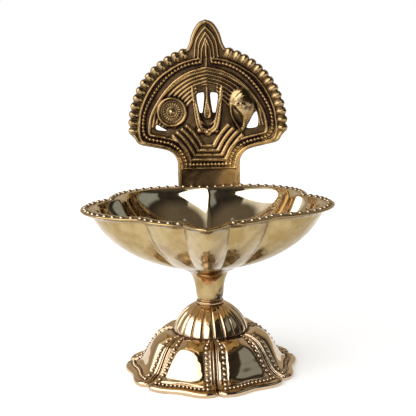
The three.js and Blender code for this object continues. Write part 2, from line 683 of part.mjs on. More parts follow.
// Front face of the plate: just behind the flange wherever the neck stands behind it.
function plateFront() {
  let farthest = 0;
  for (let a = 150; a <= 180; a += 0.5) {
    const p = polar(rowRadius(a) + FLANGE_OUTSIDE, a, 0);
    if (Math.abs(p.x) <= NECK_HALF_WIDTH + PLATE_OFFSET + 0.5) farthest = Math.max(farthest, p.y);
  }
  return farthest + PLATE_CLEARANCE;
}

// Solder fillet in the corner under the flange, against the plate
function solderGeometry(front) {
  const rowAt = rowRadius(180 - degrees(Math.atan2(SOLDER_X - SOLDER_WIDTH / 2, front)));
  const leg = FLANGE_OUTSIDE * 1.6;
  const top = -FLANGE_THICKNESS;
  const shape = new THREE.Shape();
  shape.moveTo(0, top);
  shape.lineTo(0, top - SOLDER_DROP);
  shape.quadraticCurveTo(-leg * 0.35, top - leg * 0.9, rowAt - FLANGE_OUTSIDE - front + 1, top);
  const options = { depth: SOLDER_WIDTH, bevelEnabled: false, curveSegments: 6 };
  const solder = new THREE.ExtrudeGeometry(shape, options);
  // drawn in Y and Z, extruded along X
  const turn = new THREE.Matrix4().makeBasis(
    new THREE.Vector3(0, 1, 0),
    new THREE.Vector3(0, 0, 1),
    new THREE.Vector3(1, 0, 0),
  );
  return solder.applyMatrix4(turn).translate(-SOLDER_WIDTH / 2, 0, 0);
}

// Materials
function metal(color, roughness) {
  return new THREE.MeshStandardMaterial({ color, roughness, metalness: 1 });
}

function named(name, geometry, material) {
  const mesh = new THREE.Mesh(geometry, material);
  mesh.name = name;
  return mesh;
}

// Assembly
const group = new THREE.Group();
group.add(named("foot", footGeometry(), metal(0xc9953c, 0.2)));
group.add(named("threaded_stud", studGeometry(), metal(0xb0883f, 0.35)));
group.add(named("stud_washer", washerGeometry(), metal(0xb08a48, 0.4)));
group.add(named("stud_nut", nutGeometry(), metal(0xb8934f, 0.4)));
group.add(named("collar_ring", collarGeometry(), metal(0xd8c59a, 0.25)));

const bowl = named("bowl", bowlGeometry(), metal(0xbfa16c, 0.25));
bowl.position.z = STEM_SEAT;
group.add(bowl);

const atRim = new THREE.Group();
atRim.position.set(0, plateFront(), RIM_HEIGHT);
group.add(atRim);
const plate = named("back_plate", plateGeometry(), metal(0x9c7a3c, 0.35));
plate.position.x = PLATE_OFFSET;
atRim.add(plate);
for (const [name, side] of [["plate_solder_left", -1], ["plate_solder_right", 1]]) {
  const solder = named(name, solderGeometry(plateFront()), metal(0xb9b4a6, 0.45));
  solder.position.x = side * SOLDER_X;
  atRim.add(solder);
}

// The origin is the middle of the lamp's footprint box, on the ground.
const box = new THREE.Box3().setFromObject(group);
group.position.y = -(box.min.y + box.max.y) / 2;

export default group;
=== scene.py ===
import math

import bmesh
import bpy
import numpy as np
from mathutils import Matrix, Vector


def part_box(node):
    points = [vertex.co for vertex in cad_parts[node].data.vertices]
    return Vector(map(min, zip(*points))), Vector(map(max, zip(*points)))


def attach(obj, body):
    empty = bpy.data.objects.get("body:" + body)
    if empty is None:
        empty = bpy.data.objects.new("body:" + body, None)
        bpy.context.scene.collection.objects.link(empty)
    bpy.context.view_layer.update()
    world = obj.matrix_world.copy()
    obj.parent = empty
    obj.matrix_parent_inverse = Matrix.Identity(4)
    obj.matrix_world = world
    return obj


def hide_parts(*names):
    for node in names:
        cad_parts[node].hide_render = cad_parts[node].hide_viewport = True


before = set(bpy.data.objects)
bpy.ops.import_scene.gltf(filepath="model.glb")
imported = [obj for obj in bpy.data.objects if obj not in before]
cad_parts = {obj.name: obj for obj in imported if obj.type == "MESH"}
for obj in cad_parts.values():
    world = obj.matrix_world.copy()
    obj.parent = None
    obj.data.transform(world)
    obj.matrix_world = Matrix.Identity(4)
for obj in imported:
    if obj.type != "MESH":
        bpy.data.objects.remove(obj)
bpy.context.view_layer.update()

# Sizes shared with the solids, in millimetres and degrees
AXIS_Y = sum(c.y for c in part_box("threaded_stud")) * 500
PETALS = 7
PETAL_ANGLE = 360 / PETALS
FOOT_TURN = 4
SEAM_RADIUS = 33.5
CORNER_RADIUS = 35.8
PETAL_MIDDLE_RADIUS = 33.9
CORNER_ANGLE = 8.5
BORDER_HEIGHT = 1.8
RESTING_WIDTH = 3.6
FOOT_WALL = 2.2
SKIRT_HEIGHT = 16.4
DOME_RADIUS = 15.7
DOME_CENTRE_HEIGHT = 13.4
DOME_HEIGHT = 27.6
FLUTES = 21
CEILING = 25.0
COLLAR_TOP = 29.1
STEM_SEAT = 29.9
STUD_BORE = 3.25
LOBE_ANGLE = 72
BOWL_TOP_RADIUS = 49.1
LOBE_DEPTH = 7.6
FRONT_LOBE_DROP = 0.8
BOWL_DEPTH = 26.4
STEM_HEIGHT = 13.2
STEM_RADIUS = 5.2
BOWL_WALL = 1.8
BOWL_FLOOR = 2.5
FLANGE_OUTSIDE = 2.0
FLANGE_INSIDE = 2.9
SPOUT_REACH = 9.8
SPOUT_HALF_ANGLE = 10.4
SPOUT_MARGIN = 0.4
BEAD_RADIUS = 1.15
BEAD_SINK = 0.4
BEAD_PITCH = 3.8
BOWL_RIM = STEM_HEIGHT + BOWL_DEPTH
RIM_HEIGHT = STEM_SEAT + BOWL_RIM
STEM_TOP = STEM_SEAT + STEM_HEIGHT
PLATE_X = 0.5
PLATE_THICKNESS = 2.2
PLATE_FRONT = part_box("back_plate")[1].y * 1000 - PLATE_THICKNESS
ARCH_CENTRE = 26.8
ARCH_RADIUS = 35.9
SCALLOPS = 13
SCALLOPS_FROM = -5.8
SCALLOPS_TO = 75.4
SCALLOP_PITCH = (SCALLOPS_TO - SCALLOPS_FROM) / SCALLOPS


# Number helpers
def smooth(x, low, high):
    t = np.clip((np.asarray(x, float) - low) / (high - low), 0, 1)
    return t * t * (3 - 2 * t)


def band(x, low, full, fading, high):
    """1 from full to fading, falling smoothly to 0 at low and high."""
    return smooth(x, low, full) * (1 - smooth(x, fading, high))


def mix(a, b, t):
    return a + (b - a) * t


def polar(radius, angle, height):
    """Points about the stem's axis, the angle in degrees from -Y towards +X."""
    a = np.radians(angle)
    x = radius * np.sin(a)
    y = -radius * np.cos(a) + AXIS_Y
    return np.stack(np.broadcast_arrays(x, y, height), -1).astype(float)


def from_nearest(angle, step):
    angle = np.asarray(angle, float)
    return np.abs(angle - step * np.round(angle / step))


def half_round(x):
    """Height of a semicircle of radius 1 at x, and 0 beside it."""
    return np.sqrt(np.clip(1 - x**2, 0, 1))


def thread_wave(height, angle):
    """A right-hand screw's wave from 0 to 1, 1 mm to a turn."""
    return np.abs(((height - angle / 360) % 1.0) - 0.5) * 2


def spline(knots, steps, closed=False):
    """A Catmull-Rom curve through knots, with so many steps to each span."""
    k = np.asarray(knots, float)
    before = k[-1:] if closed else 2 * k[:1] - k[1:2]
    after = k[:2] if closed else 2 * k[-1:] - k[-2:-1]
    p = np.concatenate([before, k, after])
    t = (np.arange(steps) / steps)[:, None]
    out = []
    for i in range(len(p) - 3):
        a, b, c, d = p[i : i + 4]
        out.append(0.5 * (2 * b + (c - a) * t + (2 * a - 5 * b + 4 * c - d) * t**2
                          + (3 * b - a - 3 * c + d) * t**3))
    if not closed:
        out.append(k[-1:])
    return np.concatenate(out)


def even(path, count):
    """A path resampled to evenly spaced points."""
    path = np.asarray(path, float)
    lengths = np.r_[0, np.cumsum(np.linalg.norm(np.diff(path, axis=0), axis=1))]
    wanted = np.linspace(0, lengths[-1], count)
    return np.stack([np.interp(wanted, lengths, path[:, i]) for i in range(path.shape[1])], -1)


def path_length(path):
    return np.linalg.norm(np.diff(np.asarray(path, float), axis=0), axis=1).sum()


def blurred(field, sigma, wrap=False):
    """A field smoothed along both axes, sigma in cells."""
    reach = max(1, int(3 * sigma))
    kernel = np.exp(-0.5 * (np.arange(-reach, reach + 1) / sigma) ** 2)
    kernel /= kernel.sum()
    for axis in range(field.ndim):
        width = [(0, 0)] * field.ndim
        width[axis] = (reach, reach)
        padded = np.pad(field, width, mode="wrap" if wrap else "edge")
        field = np.apply_along_axis(lambda row: np.convolve(row, kernel, "valid"), axis, padded)
    return field


# Mesh helpers
def grid_quads(rows, cols, wrap=True):
    """Quads over rows x cols points, the columns joined round when wrap is set."""
    r = np.arange(rows - 1)[:, None]
    c = np.arange(cols if wrap else cols - 1)[None, :]
    right = (c + 1) % cols
    corners = [r * cols + c, (r + 1) * cols + c, (r + 1) * cols + right, r * cols + right]
    return np.stack(np.broadcast_arrays(*corners), -1).reshape(-1, 4)


def ring_quads(rows, cols):
    """Quads of a closed ring, whose last row joins the first."""
    first = np.arange(cols)
    last = (rows - 1) * cols + first
    closing = np.stack([last, first, np.roll(first, -1), np.roll(last, -1)], -1)
    return np.concatenate([grid_quads(rows, cols), closing])


def grid_normals(points, wrap=True):
    """Unit normals of a grid of points, rows down the outside and columns anticlockwise."""
    down = np.gradient(points, axis=0)
    padded = np.concatenate([points[:, -1:], points, points[:, :1]], 1) if wrap else points
    across = np.gradient(padded, axis=1)
    across = across[:, 1:-1] if wrap else across
    n = np.cross(down, across)
    return n / np.maximum(np.linalg.norm(n, axis=-1, keepdims=True), 1e-9)


def add_object(name, data):
    obj = bpy.data.objects.new(name, data)
    bpy.context.scene.collection.objects.link(obj)
    return obj


def set_fields(mesh, fields):
    """Numbers for each point, which the materials read by name."""
    for key, field in fields.items():
        attribute = mesh.attributes.new(key, "FLOAT", "POINT")
        attribute.data.foreach_set("value", np.asarray(field, np.float32).ravel())


def piece(name, points, faces, body, material, replaces=(), fields=None):
    """A mesh object from points in millimetres, riding on a body."""
    points = np.asarray(points, float).reshape(-1, 3) / 1000
    mesh = bpy.data.meshes.new(name)
    mesh.from_pydata(points.tolist(), [], [list(f) for f in faces])
    mesh.validate()
    bm = bmesh.new()
    bm.from_mesh(mesh)
    if bm.calc_volume(signed=True) < 0:
        bmesh.ops.reverse_faces(bm, faces=bm.faces)
    bm.to_mesh(mesh)
    bm.free()
    mesh.shade_smooth()
    set_fields(mesh, fields or {})
    mesh.materials.append(material)
    obj = add_object(name, mesh)
    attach(obj, body)
    if replaces:
        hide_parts(*replaces)
    return obj


def ball_template(detail):
    bm = bmesh.new()
    bmesh.ops.create_icosphere(bm, subdivisions=detail, radius=1)
    points = np.array([v.co for v in bm.verts])
    faces = np.array([[v.index for v in f.verts] for f in bm.faces])
    bm.free()
    return points, faces


def balls(centres, radii, normals):
    """Points and faces of many small balls, and how deep each point lies between them."""
    points, faces = ball_template(3)
    centres = np.asarray(centres, float)
    radii = np.broadcast_to(np.asarray(radii, float), len(centres))
    placed = centres[:, None] + points * radii[:, None, None]
    numbered = faces + (np.arange(len(centres)) * len(points))[:, None, None]
    depth = 1 - smooth(normals @ points.T, 0.1, 0.75)
    return placed.reshape(-1, 3), numbered.reshape(-1, 3), depth.ravel()


# Material helpers
class Nodes:
    """Builds the nodes of a material or world: each call adds a node and returns its output."""

    def __init__(self, owner, shader="Principled BSDF"):
        owner.use_nodes = True
        self.owner = owner
        self.tree = owner.node_tree
        self.shader = self.tree.nodes[shader]

    def add(self, kind, inputs=None, **settings):
        node = self.tree.nodes.new(kind)
        for key, value in settings.items():
            setattr(node, key, value)
        for key, value in (inputs or {}).items():
            self.put(node.inputs[key], value)
        return node

    @property
    def place(self):
        return self.add("ShaderNodeTexCoord").outputs["Object"]

    def put(self, socket, value):
        if isinstance(value, bpy.types.NodeSocket):
            self.tree.links.new(value, socket)
        else:
            socket.default_value = value

    def noise(self, scale, detail=3, roughness=0.5, stretch=None):
        """Noise with so many cells to a metre."""
        place = self.place
        if stretch:
            node = self.add("ShaderNodeMapping", {"Vector": place, "Scale": stretch})
            place = node.outputs[0]
        inputs = {"Vector": place, "Scale": scale, "Detail": detail, "Roughness": roughness}
        return self.add("ShaderNodeTexNoise", inputs).outputs["Fac"]

    def spread(self, value, low, high, to_low=0.0, to_high=1.0):
        inputs = {"Value": value, "From Min": low, "From Max": high, "To Min": to_low, "To Max": to_high}
        return self.add("ShaderNodeMapRange", inputs, interpolation_type="SMOOTHSTEP").outputs[0]

    def attribute(self, name):
        return self.add("ShaderNodeAttribute", attribute_name=name).outputs["Fac"]

    def math(self, operation, *values):
        return self.add("ShaderNodeMath", dict(enumerate(values)), operation=operation).outputs[0]

    def blend(self, factor, a, b):
        node = self.add("ShaderNodeMix", {"Factor": factor}, data_type="RGBA")
        self.put(node.inputs["A"], rgba(a))
        self.put(node.inputs["B"], rgba(b))
        return node.outputs["Result"]

    def spot(self, centre, radius, softness):
        """1 within radius of a point in millimetres, fading to 0 over softness."""
        inputs = {0: self.place, 1: [float(c) / 1000 for c in centre]}
        distance = self.add("ShaderNodeVectorMath", inputs, operation="DISTANCE").outputs["Value"]
        return self.spread(distance, radius / 1000, (radius + softness) / 1000, 1.0, 0.0)

    def bump(self, height, distance, normal=None):
        inputs = {"Height": height, "Distance": distance / 1000, "Strength": 1.0}
        if normal:
            inputs["Normal"] = normal
        return self.add("ShaderNodeBump", inputs).outputs[0]

    def seen_directly(self):
        """1 for camera, glossy and transmission rays."""
        rays = self.add("ShaderNodeLightPath").outputs
        seen = self.math("MAXIMUM", rays["Is Camera Ray"], rays["Is Glossy Ray"])
        return self.math("MAXIMUM", seen, rays["Is Transmission Ray"])

    def finish(self, **sockets):
        for key, value in sockets.items():
            self.put(self.shader.inputs[key.replace("_", " ")], value)
        return self.owner


def material_nodes(name):
    return Nodes(bpy.data.materials.new(name))


def rgba(value):
    return value if isinstance(value, bpy.types.NodeSocket) else (*value, 1.0)


# Materials
GRIME = (0.1, 0.045, 0.026)
TARNISH = (0.2, 0.11, 0.05)
# Painted reflection colour: the coppery foot as mirrored in the stem's top
COPPER_REFLECTION = (0.42, 0.19, 0.07)
BLOTCH = (0.24, 0.13, 0.07)
RESIDUE = (0.03, 0.018, 0.02)


def brass(name, light, deep, roughness, wave=0.02, stain=0.25, spots=(), cells=70):
    """Polished cast brass: cloudy colour, a few stains, colour spots where given (stains, residue and a
    painted reflection), fine scratches and grime in its hollows.
    """
    n = material_nodes(name)
    clouds = n.spread(n.noise(0.6 * cells, 4, 0.6), 0.38, 0.64)
    colour = n.blend(clouds, deep, light)
    stains = n.spread(n.noise(130, 5, 0.65), 0.53, 0.72, 0.0, stain)
    colour = n.blend(stains, colour, TARNISH)
    speckle = n.noise(420, 5, 0.7)
    for centre, radius, softness, tone, strength in spots:
        patchy = n.spread(speckle, 0.42, 0.56, 0.25, strength)
        colour = n.blend(n.math("MULTIPLY", n.spot(centre, radius, softness), patchy), colour, tone)
    rough = n.spread(n.noise(260, 4, 0.7), 0.3, 0.75, roughness * 0.75, roughness * 1.5)
    grime = n.math("MULTIPLY", n.attribute("grime"), n.spread(n.noise(600, 3, 0.6), 0.2, 0.55, 0.55, 1.0))
    colour = n.blend(grime, colour, GRIME)
    rough = n.math("MAXIMUM", rough, n.spread(grime, 0.1, 0.8, 0.0, 0.5))
    relief = n.bump(n.noise(cells, 2, 0.4), wave)
    scratches = n.noise(900, 2, 0.5, (1, 1, 0.15))
    relief = n.bump(scratches, wave * 0.06, relief)
    return n.finish(Base_Color=colour, Metallic=1.0, Roughness=rough, Normal=relief)


# Centre, radius, softness, colour and strength
BOWL_SPOTS = [
    (polar(10, -28, STEM_TOP + 0.8), 2.2, 2.5, BLOTCH, 0.9),
    (polar(12, 30, STEM_TOP + 1.6), 3.0, 2.5, BLOTCH, 1.0),
    # Painted reflection: a coppery glint of the foot, painted on the front of the stem's top below the keel
    (polar(7.6, 0, STEM_TOP - 3.2), 2.6, 2.0, COPPER_REFLECTION, 0.9),
    (polar(STEM_RADIUS, 38, STEM_SEAT + 0.8), 1.5, 1.6, RESIDUE, 1.0),
    (polar(STEM_RADIUS, 66, STEM_SEAT + 2.6), 1.6, 2.2, RESIDUE, 1.0),
]
foot_brass = brass("foot_brass", light=(0.63, 0.49, 0.34), deep=(0.57, 0.42, 0.26), roughness=0.07,
                   wave=0.012, stain=0.18)
bowl_outside = brass("bowl_outside", light=(0.47, 0.355, 0.175), deep=(0.36, 0.25, 0.1), roughness=0.16,
                     wave=0.3, stain=0.4, cells=190, spots=BOWL_SPOTS)
bowl_inside = brass("bowl_inside", light=(0.7, 0.6, 0.44), deep=(0.62, 0.52, 0.36), roughness=0.07,
                    wave=0.05, stain=0.12, cells=130)
bead_brass = brass("bead_brass", light=(0.72, 0.6, 0.42), deep=(0.64, 0.5, 0.32), roughness=0.09, wave=0.006)
collar_brass = brass("collar_brass", light=(0.5, 0.39, 0.24), deep=(0.34, 0.21, 0.11), roughness=0.14)
stud_brass = brass("stud_brass", light=(0.52, 0.38, 0.17), deep=(0.42, 0.29, 0.12), roughness=0.35)
solder_grey = brass("solder_grey", light=(0.5, 0.47, 0.4), deep=(0.34, 0.31, 0.26), roughness=0.45)


def on_plate(x, z):
    return PLATE_X + x, PLATE_FRONT, RIM_HEIGHT + z


# Centre, radius and colour
WORN_PLACES = [
    (on_plate(9.5, 2.6), 3.6, (0.42, 0.25, 0.09)), (on_plate(13.6, 11), 4.2, (0.62, 0.4, 0.16)),
    (on_plate(-13.8, 11), 3.4, (0.5, 0.3, 0.12)), (on_plate(30, 20), 4, (0.5, 0.32, 0.12)),
]
CREVICE = (0.018, 0.009, 0.009)
POLISHED = (0.38, 0.28, 0.15)


def plate_material():
    """Antiqued brass: dark in the recesses, bare on the ridges."""
    n = material_nodes("plate_brass")
    cavity = n.attribute("cavity")
    ragged = n.math("MULTIPLY_ADD", n.noise(500, 4, 0.6), 0.25, -0.125)
    level = n.math("ADD", cavity, ragged)
    bare = n.spread(level, -0.12, 0.32)
    crevice = n.spread(level, -0.2, -0.45)
    clouds = n.spread(n.noise(60, 4, 0.6), 0.35, 0.7)
    metal = n.blend(clouds, (0.26, 0.165, 0.068), (0.39, 0.255, 0.118))
    patina = n.blend(clouds, (0.053, 0.033, 0.016), (0.108, 0.065, 0.03))
    colour = n.blend(bare, patina, metal)
    colour = n.blend(crevice, colour, CREVICE)
    patchy = n.spread(clouds, 0, 1, 0.35, 0.85)
    for centre, radius, tone in WORN_PLACES:
        colour = n.blend(n.math("MULTIPLY", n.spot(centre, radius, radius * 0.8), patchy), colour, tone)
    rough = n.spread(bare, 0, 1, 0.4, 0.22)
    polish = n.attribute("polish")
    colour = n.blend(n.math("MULTIPLY", polish, 0.75), colour, POLISHED)
    rough = n.math("MULTIPLY", rough, n.spread(polish, 0, 1, 1.0, 0.45))
    grain = n.math("MULTIPLY", n.noise(450, 4, 0.6), n.spread(polish, 0, 1, 1.0, 0.2))
    relief = n.bump(grain, 0.16)
    return n.finish(Base_Color=colour, Metallic=1.0, Roughness=rough, Normal=relief)


plate_brass = plate_material()


# Foot: petal skirt and fluted dome in one hollow casting
def petal_radius(from_seam):
    near = mix(SEAM_RADIUS, CORNER_RADIUS, 1 - (1 - np.clip(from_seam / CORNER_ANGLE, 0, 1)) ** 3)
    along = np.clip((from_seam - CORNER_ANGLE) / (PETAL_ANGLE / 2 - CORNER_ANGLE), 0, 1)
    far = mix(PETAL_MIDDLE_RADIUS, CORNER_RADIUS, (1 + np.cos(np.pi * along)) / 2)
    return np.where(from_seam < CORNER_ANGLE, near, far)


# The skirt's profile: share of the way from the dome to the border, share of the height
SKIRT_KNOTS = [
    (0, 1), (0.16, 0.97), (0.35, 0.83), (0.47, 0.62), (0.56, 0.4), (0.67, 0.17), (0.83, 0.03),
    (0.955, 0.004),
]
INNER_KNOTS = SKIRT_KNOTS[5:1:-1]
SKIRT_REACH = PETAL_MIDDLE_RADIUS - DOME_RADIUS
SKIRT_RISE = SKIRT_HEIGHT - BORDER_HEIGHT
SKIRT_ROWS = 150
# The petals' lower edge: inset and height
PETAL_EDGE = [(0.0, 1.5), (0.06, 1.0), (0.02, 0.5), (0.25, 0.12), (0.7, 0.0)]
RIB_HEIGHT = 0.38
THIN_RIB_HEIGHT = 0.2
SEAM_DEPTH = 0.9
PANEL_STEP = 0.2
PANEL_BULGE = 1.15
DOME_FOOT_RADIUS = DOME_RADIUS - 0.75
DOME_ROWS = 56
ROOF_RADIUS = 5.9
HOLLOW_GRIME = 0.35
BEAD_ROW = 3.2
SEAM_BEAD_RADII = (0.5, 0.84)
SEAM_BEAD_PITCH = 2.42
HEM_SHARE = 0.82
HEM_BEAD_RADIUS = 0.68
HEM_BEAD_PITCH = 1.66


def foot_angles():
    """Angles round the foot from a seam, closer together beside the seams."""
    close = np.linspace(0, 9.5, 52, endpoint=False)
    half = np.concatenate([close, np.linspace(9.5, PETAL_ANGLE / 2, 29)])
    petal = np.concatenate([half, PETAL_ANGLE - half[1:-1][::-1]])
    return np.concatenate([petal + p * PETAL_ANGLE for p in range(PETALS)])


def build_foot():
    angles = foot_angles()
    turned = angles + FOOT_TURN
    from_seam = from_nearest(angles, PETAL_ANGLE)
    outline = petal_radius(from_seam) - PETAL_MIDDLE_RADIUS

    def ring(share, height, inset=0):
        radius = DOME_RADIUS + SKIRT_REACH * share + outline * smooth(share, 0.2, 1) - inset
        return polar(radius, turned, height)

    knots = [(s * SKIRT_REACH, BORDER_HEIGHT + SKIRT_RISE * u) for s, u in SKIRT_KNOTS]
    profile = even(spline(knots, 12), SKIRT_ROWS)
    skirt = np.array([ring(r / SKIRT_REACH, z) for r, z in profile])
    share = (profile[:, 0] / SKIRT_REACH)[:, None]
    normals = grid_normals(skirt)

    # A groove at each seam, a thin and a flat rib beside it, the strip of beads, the border and the panel
    spread = mix(0.5, 1, smooth(share, 0, 0.35))
    away = (DOME_RADIUS + SKIRT_REACH * share) * np.radians(from_seam)[None] / spread
    groove = 1 - smooth(away, 0.12, 0.45)
    thin_rib = band(away, 0.35, 0.6, 0.7, 0.95)
    flat_rib = band(away, 1.0, 1.3, 1.9, 2.25)
    border = smooth(share, 0.865, 0.885) * smooth(away, 1.0, 1.3)
    panel = smooth(away, 4.05, 4.6) * band(share, 0.02, 0.2, 0.75, 0.775)
    edge = np.degrees(4.2 * spread / (DOME_RADIUS + SKIRT_REACH * share))
    across = np.clip((from_seam[None] - edge) / (PETAL_ANGLE / 2 - edge), 0, 1)
    pillow = (1 - (1 - across) ** 2) * (1 - 0.6 * smooth(share, 0.5, 0.78))
    relief = RIB_HEIGHT * np.maximum(flat_rib, border) + THIN_RIB_HEIGHT * thin_rib - SEAM_DEPTH * groove
    relief = relief + panel * (PANEL_STEP + PANEL_BULGE * pillow)
    skirt = skirt + normals * (relief * smooth(share, 0, 0.05))[..., None]
    strip = band(away, 2.1, 2.4, 4.2, 4.5)
    hem = band(share, 0.76, 0.78, 0.855, 0.875) * smooth(away, 2.1, 2.4)
    line = band(away, 0.75, 0.95, 1.05, 1.25)
    dirt = np.maximum.reduce([groove, 0.7 * line, 0.55 * strip, 0.55 * hem])
    dirt = np.maximum(dirt, 0.8 * (1 - smooth(share, 0.0, 0.035)))

    # Dome: broad flutes, slightly round, with narrow valleys between them
    from_valley = from_nearest(angles, 360 / FLUTES)
    valley = 0.45 * (1 - smooth(from_valley, 0, 3.6)) + 0.15 * (from_valley / (180 / FLUTES) - 1) ** 2

    def dome(height, inset=0, depth=0.0):
        radius = np.sqrt((DOME_RADIUS - inset) ** 2 - (height - DOME_CENTRE_HEIGHT) ** 2)
        return polar(radius - valley * depth, turned, height)

    rows, grime = [], []

    def add(points, dirt=0.0):
        rows.append(np.broadcast_to(points, (len(angles), 3)))
        grime.append(np.broadcast_to(dirt, len(angles)))

    add(polar(STUD_BORE, turned, DOME_HEIGHT))
    add(polar(ROOF_RADIUS, turned, DOME_HEIGHT))
    top_angle = math.asin((DOME_HEIGHT - 0.05 - DOME_CENTRE_HEIGHT) / DOME_RADIUS)
    low_angle = math.asin((SKIRT_HEIGHT + 0.5 - DOME_CENTRE_HEIGHT) / DOME_RADIUS)
    for t in np.linspace(0, 1, DOME_ROWS):
        height = DOME_CENTRE_HEIGHT + DOME_RADIUS * math.sin(mix(top_angle, low_angle, t))
        in_valley = 1 - smooth(from_valley, mix(0.2, 1.5, t), mix(1.6, 3.5, t))
        add(dome(height, 0, mix(0.3, 1.0, smooth(t, 0.02, 0.3))),
            np.maximum(mix(0.2, 0.85, t) * in_valley, 0.9 * smooth(t, 0.965, 1.0)))
    add(polar(DOME_FOOT_RADIUS - valley * 0.5, turned, SKIRT_HEIGHT + 0.05), 1.0)
    add(polar(DOME_FOOT_RADIUS, turned, SKIRT_HEIGHT - 0.3), 1.0)
    for points, dirty in zip(skirt, dirt):
        add(points, dirty)
    for inset, z in PETAL_EDGE:
        add(ring(1, z, inset))
    add(ring(1, 0, RESTING_WIDTH), HOLLOW_GRIME)
    for s, u in INNER_KNOTS:
        add(ring(s, BORDER_HEIGHT + SKIRT_RISE * u - FOOT_WALL * 0.75, FOOT_WALL * 0.75), HOLLOW_GRIME)
    add(polar(DOME_RADIUS - FOOT_WALL, turned, SKIRT_HEIGHT - FOOT_WALL * 0.7), HOLLOW_GRIME)
    for t in (0.3, 0.55, 0.8, 1):
        add(dome(mix(SKIRT_HEIGHT, CEILING, t), FOOT_WALL), HOLLOW_GRIME)
    add(polar(STUD_BORE, turned, CEILING), HOLLOW_GRIME)
    piece("foot_casting", np.array(rows), ring_quads(len(rows), len(angles)), "foot",
          foot_brass, replaces=["foot"], fields={"grime": np.array(grime)})
    build_foot_beads(angles, skirt, share[:, 0], spread[:, 0])


def build_foot_beads(angles, skirt, share, spread):
    """Rows of beads along both sides of each seam and inside the border."""
    surface = np.concatenate([skirt, grid_normals(skirt)], -1)
    radius = DOME_RADIUS + SKIRT_REACH * share

    def on_skirt(row, angle):
        return [np.interp(angle, angles, surface[row, :, i], period=360) for i in range(6)]

    spots, radii = [], []
    rows_used = np.nonzero((share > 0.025) & (share < 0.83))[0]
    offset = np.degrees(BEAD_ROW * spread / radius)
    size = mix(*SEAM_BEAD_RADII, smooth(share[rows_used], 0, 0.3))
    hem_row = int(np.argmin(np.abs(share - HEM_SHARE)))
    start = math.degrees(BEAD_ROW / (DOME_RADIUS + SKIRT_REACH * HEM_SHARE))
    for seam in np.arange(PETALS) * PETAL_ANGLE:
        for side in (-1, 1):
            line = np.array([on_skirt(r, seam + side * offset[r]) for r in rows_used])
            steps = np.linalg.norm(np.diff(line[:, :3], axis=0), axis=1) / (SEAM_BEAD_PITCH * size[:-1])
            count = np.r_[0, np.cumsum(steps)]
            at = np.arange(0, int(count[-1]) + 1) * count[-1] / int(count[-1])
            spots.append(np.stack([np.interp(at, count, line[:, i]) for i in range(6)], -1))
            radii.append(np.interp(at, count, size))
        hem = np.array([on_skirt(hem_row, seam + a) for a in np.linspace(start, PETAL_ANGLE - start, 90)])
        count = int(path_length(hem[:, :3]) / HEM_BEAD_PITCH) + 1
        spots.append(even(hem, count)[1:-1])
        radii.append(np.full(count - 2, HEM_BEAD_RADIUS))
    spots, radii = np.concatenate(spots), np.concatenate(radii)
    centres = spots[:, :3] + spots[:, 3:] * (radii * 0.15)[:, None]
    points, faces, depth = balls(centres, radii, spots[:, 3:])
    piece("foot_bead_rows", points, faces, "foot", foot_brass, fields={"grime": depth})


build_foot()


# Collar ring with the parting groove above it
COLLAR_COLUMNS = 160
LUMPS_ANGLE = 32


def build_collar():
    profile = spline([
        (STUD_BORE, DOME_HEIGHT), (5.2, DOME_HEIGHT), (5.6, DOME_HEIGHT + 0.25), (5.7, 28.35), (5.6, 28.85),
        (5.25, COLLAR_TOP), (4.85, COLLAR_TOP + 0.12), (4.7, 29.5), (4.8, STEM_SEAT), (STUD_BORE, STEM_SEAT),
    ], 5)
    angles = np.arange(COLLAR_COLUMNS) * 360 / COLLAR_COLUMNS
    wave = (np.sin(angles * 0.31) * np.sin(angles * 0.53 + 1)) ** 2
    lumps = 0.14 * wave * (1 - smooth(np.abs(angles - LUMPS_ANGLE), 14, 26))
    rows = np.array([polar(r + lumps * smooth(r, 5.0, 5.6), angles, z) for r, z in profile])
    piece("collar", rows, ring_quads(len(rows), COLLAR_COLUMNS), "collar", collar_brass,
          replaces=["collar_ring"])


build_collar()


# Bowl: lobed dish, spout, flange and stem in one casting
SPOUT_BLEND_ANGLE = 16
OUTER_WALL_TOP = BOWL_TOP_RADIUS - 2.1
INNER_WALL_TOP = OUTER_WALL_TOP - BOWL_WALL
FLOOR_HEIGHT = STEM_HEIGHT + BOWL_FLOOR
BORE_DEPTH = 9
# The flange's rounded edge: inset, depth below the rim and grime
FLANGE_EDGE = [
    (0.45, 0.04, 0.0), (0.18, 0.16, 0.0), (0.02, 0.36, 0.1), (0.0, 0.55, 0.25), (0.08, 0.78, 0.42),
    (0.35, 0.96, 0.5), (0.8, 1.02, 0.4),
]
# The stem's profile: radius and share of its height
STEM_KNOTS = [
    (11.6, 0.985), (8.4, 0.86), (6.7, 0.63), (5.9, 0.38), (STEM_RADIUS + 0.35, 0.14), (STEM_RADIUS, 0.012),
]


def row_radius(angle):
    """Radius of the row of beads: a parabola across each lobe, softened where two meet."""
    fine = np.arange(-180, 180, 0.25)
    from_middle = from_nearest(fine, LOBE_ANGLE)
    depth = np.where(np.abs(fine) < LOBE_ANGLE / 2, LOBE_DEPTH - FRONT_LOBE_DROP, LOBE_DEPTH)
    radius = BOWL_TOP_RADIUS - LOBE_DEPTH + depth * (1 - (from_middle / (LOBE_ANGLE / 2)) ** 2)
    radius = blurred(radius, 4.0, wrap=True)
    wrapped = (np.asarray(angle, float) + 180) % 360 - 180
    return np.interp(wrapped, np.r_[fine, 180], np.r_[radius, radius[0]])


def spout_rise(angle, half_angle):
    u = np.clip(1 - np.abs(angle) / half_angle, 0, 1)
    return 1.13 * u - 0.13 * u**6


def wall_rise(share):
    return 1 - (1 - np.clip(share, 0, 1) ** 2.2) ** 0.64


def bowl_angles():
    near = np.linspace(0, SPOUT_BLEND_ANGLE, 64, endpoint=False)
    side = np.concatenate([near, np.linspace(SPOUT_BLEND_ANGLE, 180, 300)])
    return np.concatenate([side, -side[1:-1][::-1]])


